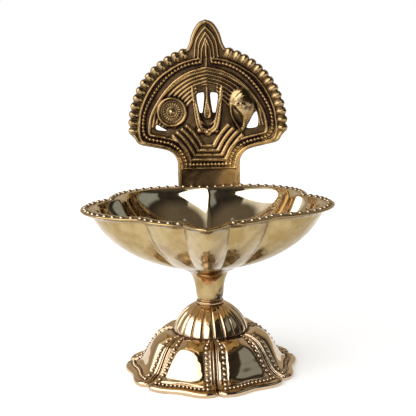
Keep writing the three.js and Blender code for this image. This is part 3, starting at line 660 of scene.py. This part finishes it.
def even_shares(low, high, count):
    """Shares of the wall's radius, evenly spaced along its profile."""
    share = low + (high - low) * (1 - (1 - np.linspace(0, 1, 400)) ** 3)
    path = np.stack([share * 45, BOWL_DEPTH * wall_rise(share)], -1)
    return even(np.c_[path, share], count)[:, 2]


def build_bowl():
    a = bowl_angles()
    count = len(a)
    row = row_radius(a)
    margin = mix(SPOUT_MARGIN, FLANGE_OUTSIDE, smooth(np.abs(a), SPOUT_HALF_ANGLE, SPOUT_BLEND_ANGLE))
    edge = row + margin + SPOUT_REACH * spout_rise(a, SPOUT_HALF_ANGLE)
    inner_reach = (SPOUT_REACH + FLANGE_INSIDE - BOWL_WALL) * spout_rise(a, SPOUT_HALF_ANGLE - 1)
    outer_reach = (SPOUT_REACH + SPOUT_MARGIN) * spout_rise(a, SPOUT_HALF_ANGLE)

    def wall(share, height, top, reach):
        lobe = (row - BOWL_TOP_RADIUS) * smooth(share, 0.2, 0.75)
        grown = max(0, (share - 0.17) / 0.83) ** 1.2
        return polar(share * (top + lobe) + reach * grown, a, STEM_SEAT + height)

    rows, inside, grime = [], [], []

    def add(points, on_inside=0.0, dirt=0.0):
        rows.append(points)
        inside.append(on_inside)
        grime.append(np.broadcast_to(dirt, count))

    for s in even_shares(0.01, 0.985, 70):
        add(wall(s, mix(FLOOR_HEIGHT, BOWL_RIM, wall_rise(s)), INNER_WALL_TOP, inner_reach), 1.0)
    for t, z in [(0.35, 0.35), (0.7, 0.1), (1.0, 0.0)]:
        top = mix(INNER_WALL_TOP, BOWL_TOP_RADIUS - FLANGE_INSIDE, t)
        add(wall(1, BOWL_RIM - z, top, inner_reach), 0.6)
    inner_edge = rows[-1]
    outer_edge = polar(edge - 0.45, a, RIM_HEIGHT - 0.05)
    beside_spout = smooth(np.abs(a), SPOUT_HALF_ANGLE + 0.5, SPOUT_HALF_ANGLE + 3)
    for t in (0.12, 0.24, 0.34, 0.44, 0.54, 0.65, 0.76, 0.84, 0.92):
        add(mix(inner_edge, outer_edge, t), dirt=band(t, 0.34, 0.5, 0.84, 0.97) * beside_spout)
    for inset, z, dirt in FLANGE_EDGE:
        add(polar(edge - inset, a, RIM_HEIGHT - z), dirt=dirt)
    for s in even_shares(0.3, 0.992, 64)[::-1]:
        height = STEM_HEIGHT + BOWL_DEPTH * wall_rise(s) - 0.8 * smooth(s, 0.95, 1)
        add(wall(s, height, OUTER_WALL_TOP, outer_reach))
    for radius, share in spline(STEM_KNOTS, 6):
        add(polar(radius, a, STEM_SEAT + STEM_HEIGHT * share))
    add(polar(STEM_RADIUS - 0.15, a, STEM_SEAT))
    for z in np.linspace(0, BORE_DEPTH, 73):
        end = band(z, 0.0, 0.5, BORE_DEPTH - 0.6, BORE_DEPTH)
        add(polar(STUD_BORE + 0.25 * smooth(thread_wave(z, a), 0.1, 0.9) * end, a, STEM_SEAT + z))

    centres = [polar(0, 0, STEM_SEAT + FLOOR_HEIGHT), polar(0, 0, STEM_SEAT + BORE_DEPTH)]
    points = np.concatenate([*rows, centres])
    faces = grid_quads(len(rows), count).tolist()
    last = (len(rows) - 1) * count
    for k in range(count):
        j = (k + 1) % count
        faces.append([last + count, k, j])
        faces.append([last + count + 1, last + j, last + k])
    inside = np.r_[np.repeat(inside, count), 1.0, 0.0]
    bowl = piece("bowl_casting", points, faces, "bowl", bowl_outside, replaces=["bowl"],
                 fields={"grime": np.r_[np.concatenate(grime), 0, 0]})
    bowl.data.materials.append(bowl_inside)
    for polygon in bowl.data.polygons:
        if min(inside[v] for v in polygon.vertices) >= 0.5:
            polygon.material_index = 1


def build_rim_beads():
    start = SPOUT_HALF_ANGLE + math.degrees(BEAD_RADIUS / BOWL_TOP_RADIUS)
    angles = np.linspace(start, 180, 800)
    line = polar(row_radius(angles), angles, RIM_HEIGHT - BEAD_SINK)
    side = even(line, round(path_length(line) / BEAD_PITCH) + 1)
    centres = np.concatenate([side, side[:-1] * [-1, 1, 1]])
    points, faces, depth = balls(centres, BEAD_RADIUS, np.tile([0.0, 0.0, 1.0], (len(centres), 1)))
    piece("rim_beads", points, faces, "bowl", bead_brass, fields={"grime": 0.9 * depth})


build_bowl()
build_rim_beads()


# Back plate: a relief on a fine grid, x across and z up from the rim
CELL = 0.25
PLATE_EDGE_RADIUS = 0.6
BACK_CAVITY = 0.05
PLATE_XS = np.arange(-37, 37.01, CELL)
PLATE_ZS = np.arange(-7.5, 74.3, CELL)
X, Z = np.meshgrid(PLATE_XS, PLATE_ZS)


def distance_to(path, reach):
    """Distance of each grid point from a path, up to reach."""
    path = np.asarray(path, float)
    found = np.full(X.shape, reach, float)
    for a, b in zip(path[:-1], path[1:]):
        x0, x1 = sorted((a[0], b[0]))
        z0, z1 = sorted((a[1], b[1]))
        i0, i1 = np.searchsorted(PLATE_ZS, [z0 - reach, z1 + reach])
        j0, j1 = np.searchsorted(PLATE_XS, [x0 - reach, x1 + reach])
        px, pz = X[i0:i1, j0:j1] - a[0], Z[i0:i1, j0:j1] - a[1]
        dx, dz = b - a
        t = np.clip((px * dx + pz * dz) / max(dx * dx + dz * dz, 1e-12), 0, 1)
        d = np.hypot(px - t * dx, pz - t * dz)
        found[i0:i1, j0:j1] = np.minimum(found[i0:i1, j0:j1], d)
    return found


def inside_of(path):
    """Which grid points lie inside a closed path."""
    path = np.asarray(path, float)
    crossings = np.zeros(X.shape, int)
    for a, b in zip(path, np.roll(path, -1, axis=0)):
        if a[1] == b[1]:
            continue
        low, high = sorted((a[1], b[1]))
        rows = (PLATE_ZS >= low) & (PLATE_ZS < high)
        at = a[0] + (PLATE_ZS[rows] - a[1]) * (b[0] - a[0]) / (b[1] - a[1])
        crossings[rows] += PLATE_XS[None] > at[:, None]
    return crossings % 2 == 1


def signed(path, reach=6.0):
    """Distance from a closed path, positive inside it."""
    closed = np.concatenate([path, path[:1]])
    return np.where(inside_of(path), 1, -1) * distance_to(closed, reach)


def within(knots, steps, reach):
    """Distance from a closed curve through knots, positive inside it."""
    return signed(spline(knots, steps, closed=True), reach)


def mirror(path):
    return np.asarray(path, float) * [-1, 1]


def both(half):
    """A half that starts in the middle becomes a whole, left to right."""
    half = np.asarray(half, float)
    start = 1 if half[0][0] == 0 else 0
    return np.concatenate([mirror(half)[::-1], half[start:]])


def arch(radius, angle):
    a = np.radians(angle)
    return np.stack(np.broadcast_arrays(radius * np.cos(a), ARCH_CENTRE + radius * np.sin(a)), -1)


def outline_half():
    """From the neck's foot round the scallops to the finial's tip."""
    neck = spline([
        (14.1, 6), (14.1, 9.5), (14.3, 11.5), (15.1, 13.3), (16.3, 14.7), (18.1, 15.9), (20.4, 16.6),
        (23.5, 17.3), (28, 18.2), (30.7, 18.9), (32.2, 20), (33.1, 21.7), (34.2, 22.8),
    ], 4)
    tips = []
    for i in range(SCALLOPS):
        for u in (0.0, 0.12, 0.3, 0.5, 0.7, 0.88):
            r = ARCH_RADIUS - 1.15 * (1 - math.sin(math.pi * u) ** 0.6)
            tips.append(arch(r, SCALLOPS_FROM + (i + u) * SCALLOP_PITCH))
    finial = spline([(8.6, 60.9), (7.35, 63.4), (6.4, 66.8), (4.95, 69.8), (2.9, 72.3), (0, 73.5)], 5)
    return np.concatenate([[(12.6, -6.9), (13.7, -6.5), (14.1, -5.6)], neck, tips, finial])


NICHE_TOP = 52.7
NICHE_SIDE = 26.3
NICHE_LINES = 7
FAN_RIDGES = 4
FAN_LINES = 6
TRACK_PITCH = 1.66
OUTER_RIDGE = spline([
    *arch(29.9, np.array([84.9, 78, 70, 60])), *arch(30.3, np.array([45, 30])),
    *arch(30.6, np.array([15, 4])), (30.8, 25.7), (30.4, 22.2), (29, 20.4), (25.6, 19.4), (21.6, 18.5),
    (17.8, 17.3), (14.9, 15.5), (12.8, 12.9), (12, 10), (11.9, 7.6),
], 4)
INNER_RIDGE = spline([
    (0, NICHE_TOP), (7.5, 50.7), (13.9, 47), (18.7, 42.3), (22.8, 36.6), (25.2, 31.9), (NICHE_SIDE, 27),
    (NICHE_SIDE, 24.5), (25.6, 23.3), (22.8, 22.7), (19.6, 22), (16.6, 21.2), (13.6, 20), (11.3, 18.2),
    (9.5, 15.9), (8.4, 13), (8, 10.9),
], 4)
BEAD_LINE = spline([
    (2.6, 55), (9.5, 53.6), (16.2, 49.9), (21.6, 44.4), (25.6, 38.4), (28, 33.4), (28.9, 29), (28.9, 25),
    (28.3, 23.2), (27.2, 22), (25.5, 21.2), (23.8, 20.9), (22, 20.5), (20.2, 20.1), (18.4, 19.7),
    (16.7, 19.1), (15.1, 18.2), (13.6, 17), (12.2, 15.5), (11.1, 13.6), (10.3, 11.8), (9.9, 9.6),
], 4)
DISC = np.array([-15.9, 33.4])
DISC_RADIUS = 6.9
DISC_TEETH = 22


def raise_to(height, value):
    np.maximum(height, value, out=height)


def line_on(height, path, width, rise):
    """A raised line with a round section."""
    raise_to(height, rise * half_round(2 * distance_to(path, width) / width))


def beads_on(height, path, pitch, radius, rise):
    """Round beads along a path, at least one at each end."""
    count = max(2, int(round(path_length(path) / pitch)) + 1)
    for x, z in even(path, count):
        i0, i1 = np.searchsorted(PLATE_ZS, [z - radius, z + radius])
        j0, j1 = np.searchsorted(PLATE_XS, [x - radius, x + radius])
        d = np.hypot(X[i0:i1, j0:j1] - x, Z[i0:i1, j0:j1] - z) / radius
        raise_to(height[i0:i1, j0:j1], rise * half_round(d))


def disc_relief(height):
    """Three rings, a band of teeth and a boss in two steps."""
    r = np.hypot(X - DISC[0], Z - DISC[1])
    angle = np.arctan2(Z - DISC[1], X - DISC[0])
    inside = r < DISC_RADIUS
    dish = np.full(X.shape, 0.45)
    for centre, half_width, rise in [(6.1, 0.85, 1.25), (4.75, 0.4, 0.55), (2.15, 0.35, 0.6)]:
        raise_to(dish, 0.3 + rise * half_round((r - centre) / half_width))
    teeth = 0.5 + 0.5 * np.cos(angle * DISC_TEETH)
    raise_to(dish, 0.35 + 0.6 * band(r, 2.5, 2.8, 4.0, 4.3) * teeth)
    for radius, base, rise in [(1.55, 0.3, 1.25), (0.55, 1.2, 0.6)]:
        raise_to(dish, base + rise * half_round(r / radius) - 2 * (r > radius))
    height[inside] = dish[inside]


ARM_LEVELS = [24.4, 28, 33, 37.5, 39.5, 41.2, 42.8, 44.6]
ARM_WIDTHS = [2.9, 3.0, 2.6, 1.7, 1.5, 2.1, 1.7, 0.4]
DROP_EDGE = 0.9


def mark_relief(height):
    """The upright U with pointed arms and a drop-shaped spike between them."""
    for side in (-1, 1):
        arm = spline([
            (side * 6.6, 44.6), (side * 6.0, 39), (side * 5.0, 33), (side * 4.2, 28.6), (side * 2.9, 25.6),
            (side * 0.4, 24.4),
        ], 6)
        for start, end in zip(arm, arm[1:]):
            width = np.interp(start[1], ARM_LEVELS, ARM_WIDTHS)
            rise = np.interp(start[1], [30, 42], [1.35, 0.95])
            line_on(height, np.array([start, end]), width, rise)
        height -= 0.45 * (distance_to(arm[8:], 0.45) < 0.42)
        inner = spline([(side * 5.2, 38.6), (side * 4.1, 32.6), (side * 3.0, 29.2), (side * 1.2, 27.4)], 5)
        line_on(height, inner, 0.7, 1.1)
        beads_on(height, [(side * 3.6, 24.7), (side * 3.7, 24.8)], 5, 1.3, 1.2)
    beads_on(height, [(0, 23.8), (0.1, 23.8)], 5, 1.7, 1.3)
    edge = [
        (0, 44.3), (0.55, 41), (1.1, 37), (1.75, 33.6), (1.9, 31.7), (1.2, 30.2), (0, 29.8), (-1.2, 30.2),
        (-1.9, 31.7), (-1.75, 33.6), (-1.1, 37), (-0.55, 41),
    ]
    drop = within(edge, 4, 2.5)
    swell = 1.25 * half_round(1 - drop / DROP_EDGE) * (1 - 0.35 * smooth(drop, 0.7, 1.3))
    raise_to(height, np.where(drop > 0, swell, -1))
    height[drop > DROP_EDGE] -= 0.1
    beads_on(height, [(0, 39.2), (0, 32.0)], 1.05, 0.42, 1.35)


def conch_relief(height):
    """A round whorl above, a tapering body below, and the mouth's lip down its left side."""
    shell = [
        (14.8, 43.6), (11.6, 42.2), (9.9, 38.8), (9.6, 34.6), (10.4, 30.6), (12.3, 27), (14.8, 23.3),
        (16.6, 25.4), (19.2, 29.2), (20.9, 33), (21.1, 36.9), (19.9, 40.3), (17.8, 42.7),
    ]
    body = within(shell, 5, 6.2)
    depth = np.clip(body / 5.6, 0, 1)
    swell = 2.0 * half_round(1 - depth)
    upper_left = smooth(Z, 38.0, 40.5) * smooth(17.5 - X, -2, 2)
    folds = 0.18 * np.cos(np.hypot(X - 17.5, Z - 36.5) * 3.0) * upper_left
    lean = 1 - 0.25 * smooth(Z, 33, 25)
    raise_to(height, np.where(body > 0, swell * lean + folds * depth + 0.15, -1))
    mouth = [
        (11.2, 36.2), (13.6, 33.8), (15.6, 31.2), (16.3, 28.6), (15.4, 25.6), (14.5, 25.2), (12.9, 27.6),
        (11.2, 31), (10.6, 34),
    ]
    hollow = within(mouth, 5, 2.5)
    height -= 1.25 * smooth(hollow, 0, 0.9) * (body > 0)
    lip = [(10.6, 36.4), (10.4, 33), (11.6, 29.6), (13.5, 26.3), (14.8, 24.2)]
    line_on(height, spline(lip, 6), 1.1, 1.55)
    curl = [(12.3, 35.4), (13.2, 36.5), (14.3, 35.8), (15.2, 36.4), (16.3, 35.7), (15.7, 34.8), (14.9, 35.0)]
    line_on(height, spline(curl, 5), 0.75, 2.75)
    for k in range(4):
        z = 26.4 + 0.95 * k
        line_on(height, [(15.4 + 0.15 * k, z), (17.4 + 0.35 * k, z + 0.9)], 0.45, 1.75)


def finial_relief(height):
    """A raised edge, three pointed arches and a spear."""
    edge = spline([(8.0, 60.6), (6.75, 63.1), (5.75, 66.4), (4.3, 69.2), (2.4, 71.6), (0, 72.7)], 5)
    line_on(height, both(edge[::-1]), 2.0, 1.05)
    arches = [(70.2, 5.2, 57.4, 0.95), (67.9, 3.6, 56.6, 0.9), (65.6, 2.2, 54.6, 0.85)]
    for tip, foot, bottom, width in arches:
        curve = [(0, tip), (foot * 0.5, tip - 2.9), (foot * 0.85, mix(tip, bottom, 0.5)), (foot, bottom)]
        line_on(height, both(spline(curve, 5)), width, 0.75)
    line_on(height, [(0, 63.6), (0, 53.6)], 0.9, 0.6)
    line_on(height, [(0, 62.4), (0, 57.6)], 1.4, 1.0)


def plate_relief():
    h = np.zeros(X.shape)
    r = np.hypot(X, Z - ARCH_CENTRE)
    angle = np.degrees(np.arctan2(Z - ARCH_CENTRE, np.abs(X)))
    across = np.abs(np.sin(np.pi * (angle - SCALLOPS_FROM) / SCALLOP_PITCH))
    zone = (angle > SCALLOPS_FROM) & (angle < SCALLOPS_TO) & (r > 30.5)
    taper = smooth(across, 0.75 - 0.75 * smooth(r, 30.5, 34.2), 1.0)
    flute = (0.45 + 0.95 * taper) * smooth(r, 30.4, 33.0) * (1 - 0.4 * smooth(r, 34.6, 36))
    raise_to(h, np.where(zone, flute, -1))
    neck_edge = distance_to(both(outline_half())[3:-3], 3.2)
    hem = 0.8 * band(neck_edge, 0.0, 0.8, 1.2, 2.1)
    raise_to(h, np.where(angle < SCALLOPS_FROM, hem, -1))
    for side in (-1, 1):
        line_on(h, OUTER_RIDGE * [side, 1], 1.25, 0.9)
        beads_on(h, BEAD_LINE * [side, 1], TRACK_PITCH, 0.86, 1.15)
    line_on(h, both(INNER_RIDGE), 1.5, 0.9)
    beads_on(h, [(-8.2, 9.5), (8.2, 9.5)], TRACK_PITCH, 0.9, 1.1)
    line_on(h, [(-11.7, 7.8), (11.7, 7.8)], 1.0, 0.7)
    line_on(h, [(-8, 11), (8, 11)], 0.9, 0.6)
    for i in range(1, NICHE_LINES + 1):
        inset = 1.5 * i
        side, top = NICHE_SIDE - inset, NICHE_TOP - inset
        curve = [
            (0, top), (side * 0.3, top - 1.9), (side * 0.56, top - 5.5), (side * 0.76, top - 10),
            (side * 0.91, top - 15.5), (side, ARCH_CENTRE),
        ]
        line_on(h, both(spline(curve, 5)), 1.15, 0.6)
    for i in range(FAN_RIDGES):
        foot = np.array([7.8 - 1.7 * i, 11.6 + 2.1 * i])
        head = np.array([15.3 - 2 * i, 22.4 + 1.5 * i])
        bend = np.array([mix(foot[0], head[0], 0.4), mix(foot[1], head[1], 0.62)])
        t = np.linspace(0, 1, 12)[:, None]
        line_on(h, both((1 - t) ** 2 * foot + 2 * t * (1 - t) * bend + t**2 * head), 2.0, 0.85)
    for i in range(FAN_LINES):
        z, w = 12.0 + 1.15 * i, 7.2 - 0.92 * i
        line_on(h, [(-w, z), (w, z)], 0.8, 0.3)
    finial_relief(h)
    between_arms = signed([(-4.6, 45), (4.6, 45), (3.4, 31), (-3.4, 31)])
    h = np.where(between_arms > 0, np.minimum(h, 0.1), h)
    disc_relief(h)
    mark_relief(h)
    conch_relief(h)
    return blurred(h, 0.55)


def plate_shape():
    """Distance from the plate's edge, positive on the metal."""
    shape = signed(both(outline_half()[::-1]), 6)
    middle = [(1.4, 40.9), (2.2, 33.4), (3.0, 32.7), (3.7, 33.5), (4.75, 40.2), (3.2, 41.5)]
    beside_disc = [(-22.9, 27.6), (-23.3, 25.7), (-21, 25.1), (-18.4, 25), (-20.6, 26.3)]
    beside_conch = [
        (21.9, 32.6), (20.7, 31.8), (18.9, 28.5), (17.5, 26), (17.9, 25.4), (20.2, 25.4), (22, 25.9),
        (22.6, 27.5), (22.5, 30.2),
    ]
    for corners in (middle, mirror(middle), beside_disc, beside_conch):
        shape = np.minimum(shape, -within(corners, 4, 6))
    return shape


def boundary_edges(quads):
    """Edges that only one quad has, in that quad's direction."""
    edges = {}
    for q in quads:
        for a, b in zip(q, q[1:] + q[:1]):
            if not edges.pop((b, a), False):
                edges[a, b] = True
    return edges


def plate_fields(relief):
    """How far each point stands out of its surroundings, and how bare and bright it is."""
    cavity = relief - blurred(relief, 4.5)
    cavity = np.where(relief > 0.35, cavity + 0.12, cavity)
    border = np.hypot(X, Z - ARCH_CENTRE) > 31.2
    finial = np.abs(X) < 8
    cavity = np.where(border & finial, 0.65 * cavity + 0.04, cavity)
    cavity = np.where(border & ~finial, 0.55 * cavity + 0.1, cavity)
    track = np.minimum(distance_to(BEAD_LINE, 1.4), distance_to(mirror(BEAD_LINE), 1.4))
    cavity = np.where((track < 1.3) & (relief < 0.5), cavity - 0.3, cavity)
    whorl = np.hypot((X - 15.5) / 5.2, (Z - 37) / 6.2)
    boss = np.hypot(X - DISC[0], Z - DISC[1])
    neck = 0.35 * (1 - smooth(Z, 6.0, 7.0)) * smooth(X, -2, 8)
    polish = np.maximum.reduce([0.8 - 0.8 * smooth(whorl, 0.75, 1.0), 1 - smooth(boss, 1.2, 1.7),
                                0.6 * border * ~finial * smooth(relief, 0.5, 1.0),
                                0.5 * border * finial * smooth(relief, 0.7, 1.2), neck])
    return cavity, polish * (relief > -0.05)


def build_plate():
    shape = plate_shape()
    relief = plate_relief()
    gz, gx = np.gradient(shape, CELL)
    steep = np.maximum(gx**2 + gz**2, 0.25)
    inside = shape > 0
    i, j = np.nonzero(inside[:-1, :-1] | inside[1:, :-1] | inside[:-1, 1:] | inside[1:, 1:])
    corners = [(i, j), (i, j + 1), (i + 1, j + 1), (i + 1, j)]
    used = np.zeros(X.shape, bool)
    for corner in corners:
        used[corner] = True
    step = np.where(inside, 0, shape)
    px = X - step * gx / steep
    pz = Z - step * gz / steep
    from_edge = PLATE_EDGE_RADIUS - np.clip(shape, 0, PLATE_EDGE_RADIUS)
    rounding = PLATE_EDGE_RADIUS - np.sqrt(PLATE_EDGE_RADIUS**2 - from_edge**2)
    near = np.clip(shape / 0.5, 0, 1)
    waves = 0.06 * np.sin(X * 0.9 + 1.3 * np.sin(Z * 0.37)) * np.cos(Z * 0.8 + np.sin(X * 0.5))
    front = -(relief * near) + rounding + waves * near
    back = PLATE_THICKNESS - 0.6 * rounding + 0.5 * waves * near - 0.1 * near
    index = -np.ones(X.shape, int)
    index[used] = np.arange(used.sum())
    total = int(used.sum())
    points = np.concatenate([
        np.stack([px[used] + PLATE_X, PLATE_FRONT + depth[used], RIM_HEIGHT + pz[used]], -1)
        for depth in (front, back)
    ])
    quads = np.stack([index[corner] for corner in corners], -1)
    faces = quads.tolist() + (quads[:, ::-1] + total).tolist()
    faces += [[b, a, a + total, b + total] for a, b in boundary_edges(quads.tolist())]
    cavity, polish = plate_fields(relief)
    fields = {
        "cavity": np.concatenate([cavity[used], np.full(total, BACK_CAVITY)]),
        "polish": np.concatenate([polish[used], np.zeros(total)]),
    }
    piece("plate_casting", points, faces, "bowl", plate_brass, replaces=["back_plate"],
          fields=fields)


build_plate()


# Stud with its thread, washer and nut
STUD_COLUMNS = 64
STUD_TIP_RADIUS = 2.2
STUD_CREST_RADIUS = 2.9
STUD_ROWS_PER_MM = 9


def build_stud():
    low, high = (c.z * 1000 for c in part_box("threaded_stud"))
    angles = np.arange(STUD_COLUMNS) * 360 / STUD_COLUMNS
    rows = [polar(STUD_TIP_RADIUS, angles, low)]
    for z in np.linspace(low, high, int((high - low) * STUD_ROWS_PER_MM) + 1):
        end = band(z, low, low + 0.7, high - 0.7, high)
        crest = STUD_CREST_RADIUS - 0.5 * smooth(thread_wave(z, angles), 0.12, 0.9)
        rows.append(polar(mix(2.35, crest, end), angles, z))
    rows.append(polar(STUD_TIP_RADIUS, angles, high))
    faces = grid_quads(len(rows), STUD_COLUMNS).tolist()
    end = list(range(STUD_COLUMNS))
    last = (len(rows) - 1) * STUD_COLUMNS
    faces += [end, [last + k for k in end[::-1]]]
    piece("stud_thread", np.array(rows), faces, "foot", stud_brass, replaces=["threaded_stud"])


def dress_fastener(name):
    """Stud brass and softened edges on a CAD node."""
    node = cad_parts[name]
    node.data.materials.clear()
    node.data.materials.append(stud_brass)
    bevel = node.modifiers.new("edges", "BEVEL")
    bevel.width = 0.0003
    bevel.segments = 2
    bevel.limit_method = "ANGLE"


build_stud()
dress_fastener("stud_washer")
dress_fastener("stud_nut")


# Solder fillets behind the rim
def build_solder(name, side):
    """A lumpy fillet inside its CAD box; side shifts the lumps."""
    low, high = (np.array(c) * 1000 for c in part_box(name))
    ball, faces = ball_template(4)
    x, y, z = ball.T
    centre = [(low[0] + high[0]) / 2, high[1] - 0.1, high[2] - 0.6]
    size = (high - low) * [0.5, 0.85, 0.7]
    lumps = 1 + 0.07 * np.sin(x * 5 + side) * np.cos(z * 6) + 0.04 * np.sin(y * 9)
    points = np.clip(centre + ball * size * lumps[:, None], low, high)
    piece(name + "_fillet", points, faces, "bowl", solder_grey, replaces=[name])


build_solder("plate_solder_left", -1)
build_solder("plate_solder_right", 1)


# Camera, as fitted to the photograph's frame: lengths in millimetres and in pixels
FRAME_PIXELS = 416
FOCAL_PIXELS = 880.99
CENTRE_PIXELS = (211.0, 224.63)
CAMERA_DISTANCE = 349.5
CAMERA_HEIGHT = 126.0
SENSOR_WIDTH = 36


def build_camera():
    orbit, pitch, roll, yaw = (math.radians(v) for v in (0.65, 10.68, -1.43, -0.46))
    across, back = CAMERA_DISTANCE * math.sin(orbit), CAMERA_DISTANCE * math.cos(orbit)
    place = Vector((across, AXIS_Y - back, CAMERA_HEIGHT))
    camera = add_object("camera", bpy.data.cameras.new("camera"))
    aim = Matrix.Rotation(-yaw, 4, "Z") @ Matrix.Rotation(math.pi / 2 - pitch, 4, "X")
    camera.matrix_world = Matrix.Translation(place / 1000) @ aim @ Matrix.Rotation(roll, 4, "Z")
    camera.data.sensor_width = SENSOR_WIDTH
    camera.data.lens = FOCAL_PIXELS * SENSOR_WIDTH / FRAME_PIXELS
    camera.data.shift_x = -(CENTRE_PIXELS[0] - FRAME_PIXELS / 2) / FRAME_PIXELS
    camera.data.shift_y = (CENTRE_PIXELS[1] - FRAME_PIXELS / 2) / FRAME_PIXELS
    camera.data.clip_start = 0.01
    bpy.context.scene.camera = camera


build_camera()


# Floor, room and lamps, in metres and degrees
FLOOR_HALF = 3
FLOOR_GLOW = 0.4
FAR_FLOOR_GLOW = 0.8
SCREEN_RADIUS = 1.4
WINDOW_LEFT = -104
WINDOW_TOP = 57
MIDDLE = (0, 0, 0.06)
WORLD_LIGHT = 0.4
WHITE = (1, 1, 1, 1)


def floor_material():
    """Pale, and white as the camera and the metal see it, as far as the horizon."""
    n = material_nodes("floor")
    colour = n.blend(n.spread(n.noise(3, 2), 0.3, 0.7), (0.86, 0.86, 0.86), (0.88, 0.88, 0.88))
    distance = n.add("ShaderNodeVectorMath", {0: n.place}, operation="LENGTH").outputs["Value"]
    level = n.spread(distance, 0.25, 1.0, FLOOR_GLOW, FAR_FLOOR_GLOW)
    glow = n.math("MULTIPLY", n.seen_directly(), level)
    return n.finish(Base_Color=colour, Roughness=0.9, Emission_Color=WHITE, Emission_Strength=glow)


def build_floor():
    mesh = bpy.data.meshes.new("floor")
    corners = [(-1, -1), (1, -1), (1, 1), (-1, 1)]
    mesh.from_pydata([(x * FLOOR_HALF, y * FLOOR_HALF, 0) for x, y in corners], [], [(0, 1, 2, 3)])
    mesh.materials.append(floor_material())
    add_object("floor", mesh)


def screen_material():
    """A dim room: dark walls in front, tan ones behind, a grey window and an olive ceiling."""
    n = material_nodes("screen")
    wall = n.blend(n.spread(n.noise(2, 2), 0.3, 0.7), (0.016, 0.012, 0.009), (0.04, 0.03, 0.02))
    tone = n.blend(n.attribute("behind"), wall, (0.55, 0.46, 0.33))
    tone = n.blend(n.attribute("window"), tone, (0.33, 0.37, 0.37))
    tone = n.blend(n.attribute("edge"), tone, (0.9, 0.86, 0.76))
    return n.finish(Base_Color=(0, 0, 0, 1), Roughness=1.0, Emission_Color=tone, Emission_Strength=1.0)


def build_screen():
    """A room round the lamp, open at the left in front, that only the metal's reflections show."""
    A, E = np.meshgrid(np.arange(-180, 181, 2.0), np.arange(-1, 91, 2.0))
    a, e = np.radians(A), np.radians(E)
    points = SCREEN_RADIUS * np.stack([np.cos(e) * np.sin(a), -np.cos(e) * np.cos(a), np.sin(e)], -1)
    window_right = mix(-4, -26, smooth(E, 26, 40))
    opening = (A > WINDOW_LEFT) & (A < window_right) & (E < WINDOW_TOP)
    used = ~(opening[:-1, :-1] & opening[1:, 1:])
    faces = grid_quads(*A.shape, wrap=False)[used.ravel()]
    mesh = bpy.data.meshes.new("screen")
    mesh.from_pydata(points.reshape(-1, 3).tolist(), [], faces.tolist())
    near = band(A, WINDOW_LEFT - 14, WINDOW_LEFT, window_right, window_right + 7)
    behind = np.maximum(smooth(A, 112, 135), 1 - smooth(A, -125, -105)) * mix(1, 0.3, smooth(E, 50, 75))
    set_fields(mesh, {
        "behind": np.maximum(behind, 0.22 * smooth(E, 48, 75)),
        "window": band(A, 52, 57, 101, 107) * band(E, 17, 22, 42, 50),
        "edge": near * (1 - smooth(E, 56, 68)),
    })
    mesh.materials.append(screen_material())
    screen = add_object("screen", mesh)
    screen.visible_camera = False
    screen.visible_shadow = False
    screen.visible_diffuse = False


def lamp(name, place, target, size, power):
    data = bpy.data.lights.new(name, "AREA")
    data.shape = "RECTANGLE"
    data.size, data.size_y = size
    data.energy = power
    obj = add_object(name, data)
    obj.location = place
    obj.rotation_mode = "QUATERNION"
    obj.rotation_quaternion = (Vector(place) - Vector(target)).to_track_quat("Z", "Y")
    obj.visible_camera = False
    return obj


def from_middle(azimuth, elevation, distance):
    a, e = math.radians(azimuth), math.radians(elevation)
    across = distance * math.cos(e)
    return across * math.sin(a), -across * math.cos(a), distance * math.sin(e)


def build_world():
    """White where it is seen or mirrored, and dimmer as a light."""
    n = Nodes(bpy.data.worlds.new("world"), "Background")
    glow = n.spread(n.seen_directly(), 0.0, 1.0, WORLD_LIGHT, 1.0)
    bpy.context.scene.world = n.finish(Color=WHITE, Strength=glow)


build_floor()
build_screen()
lamp("key", from_middle(-52, 33, 1.0), MIDDLE, (1.9, 0.85), 14)
top = lamp("top", (0, 0.1, 1.2), (0, 0, 0), (0.8, 0.8), 2.0)
top.visible_glossy = False
build_world()
bpy.context.scene.view_settings.view_transform = "Standard"
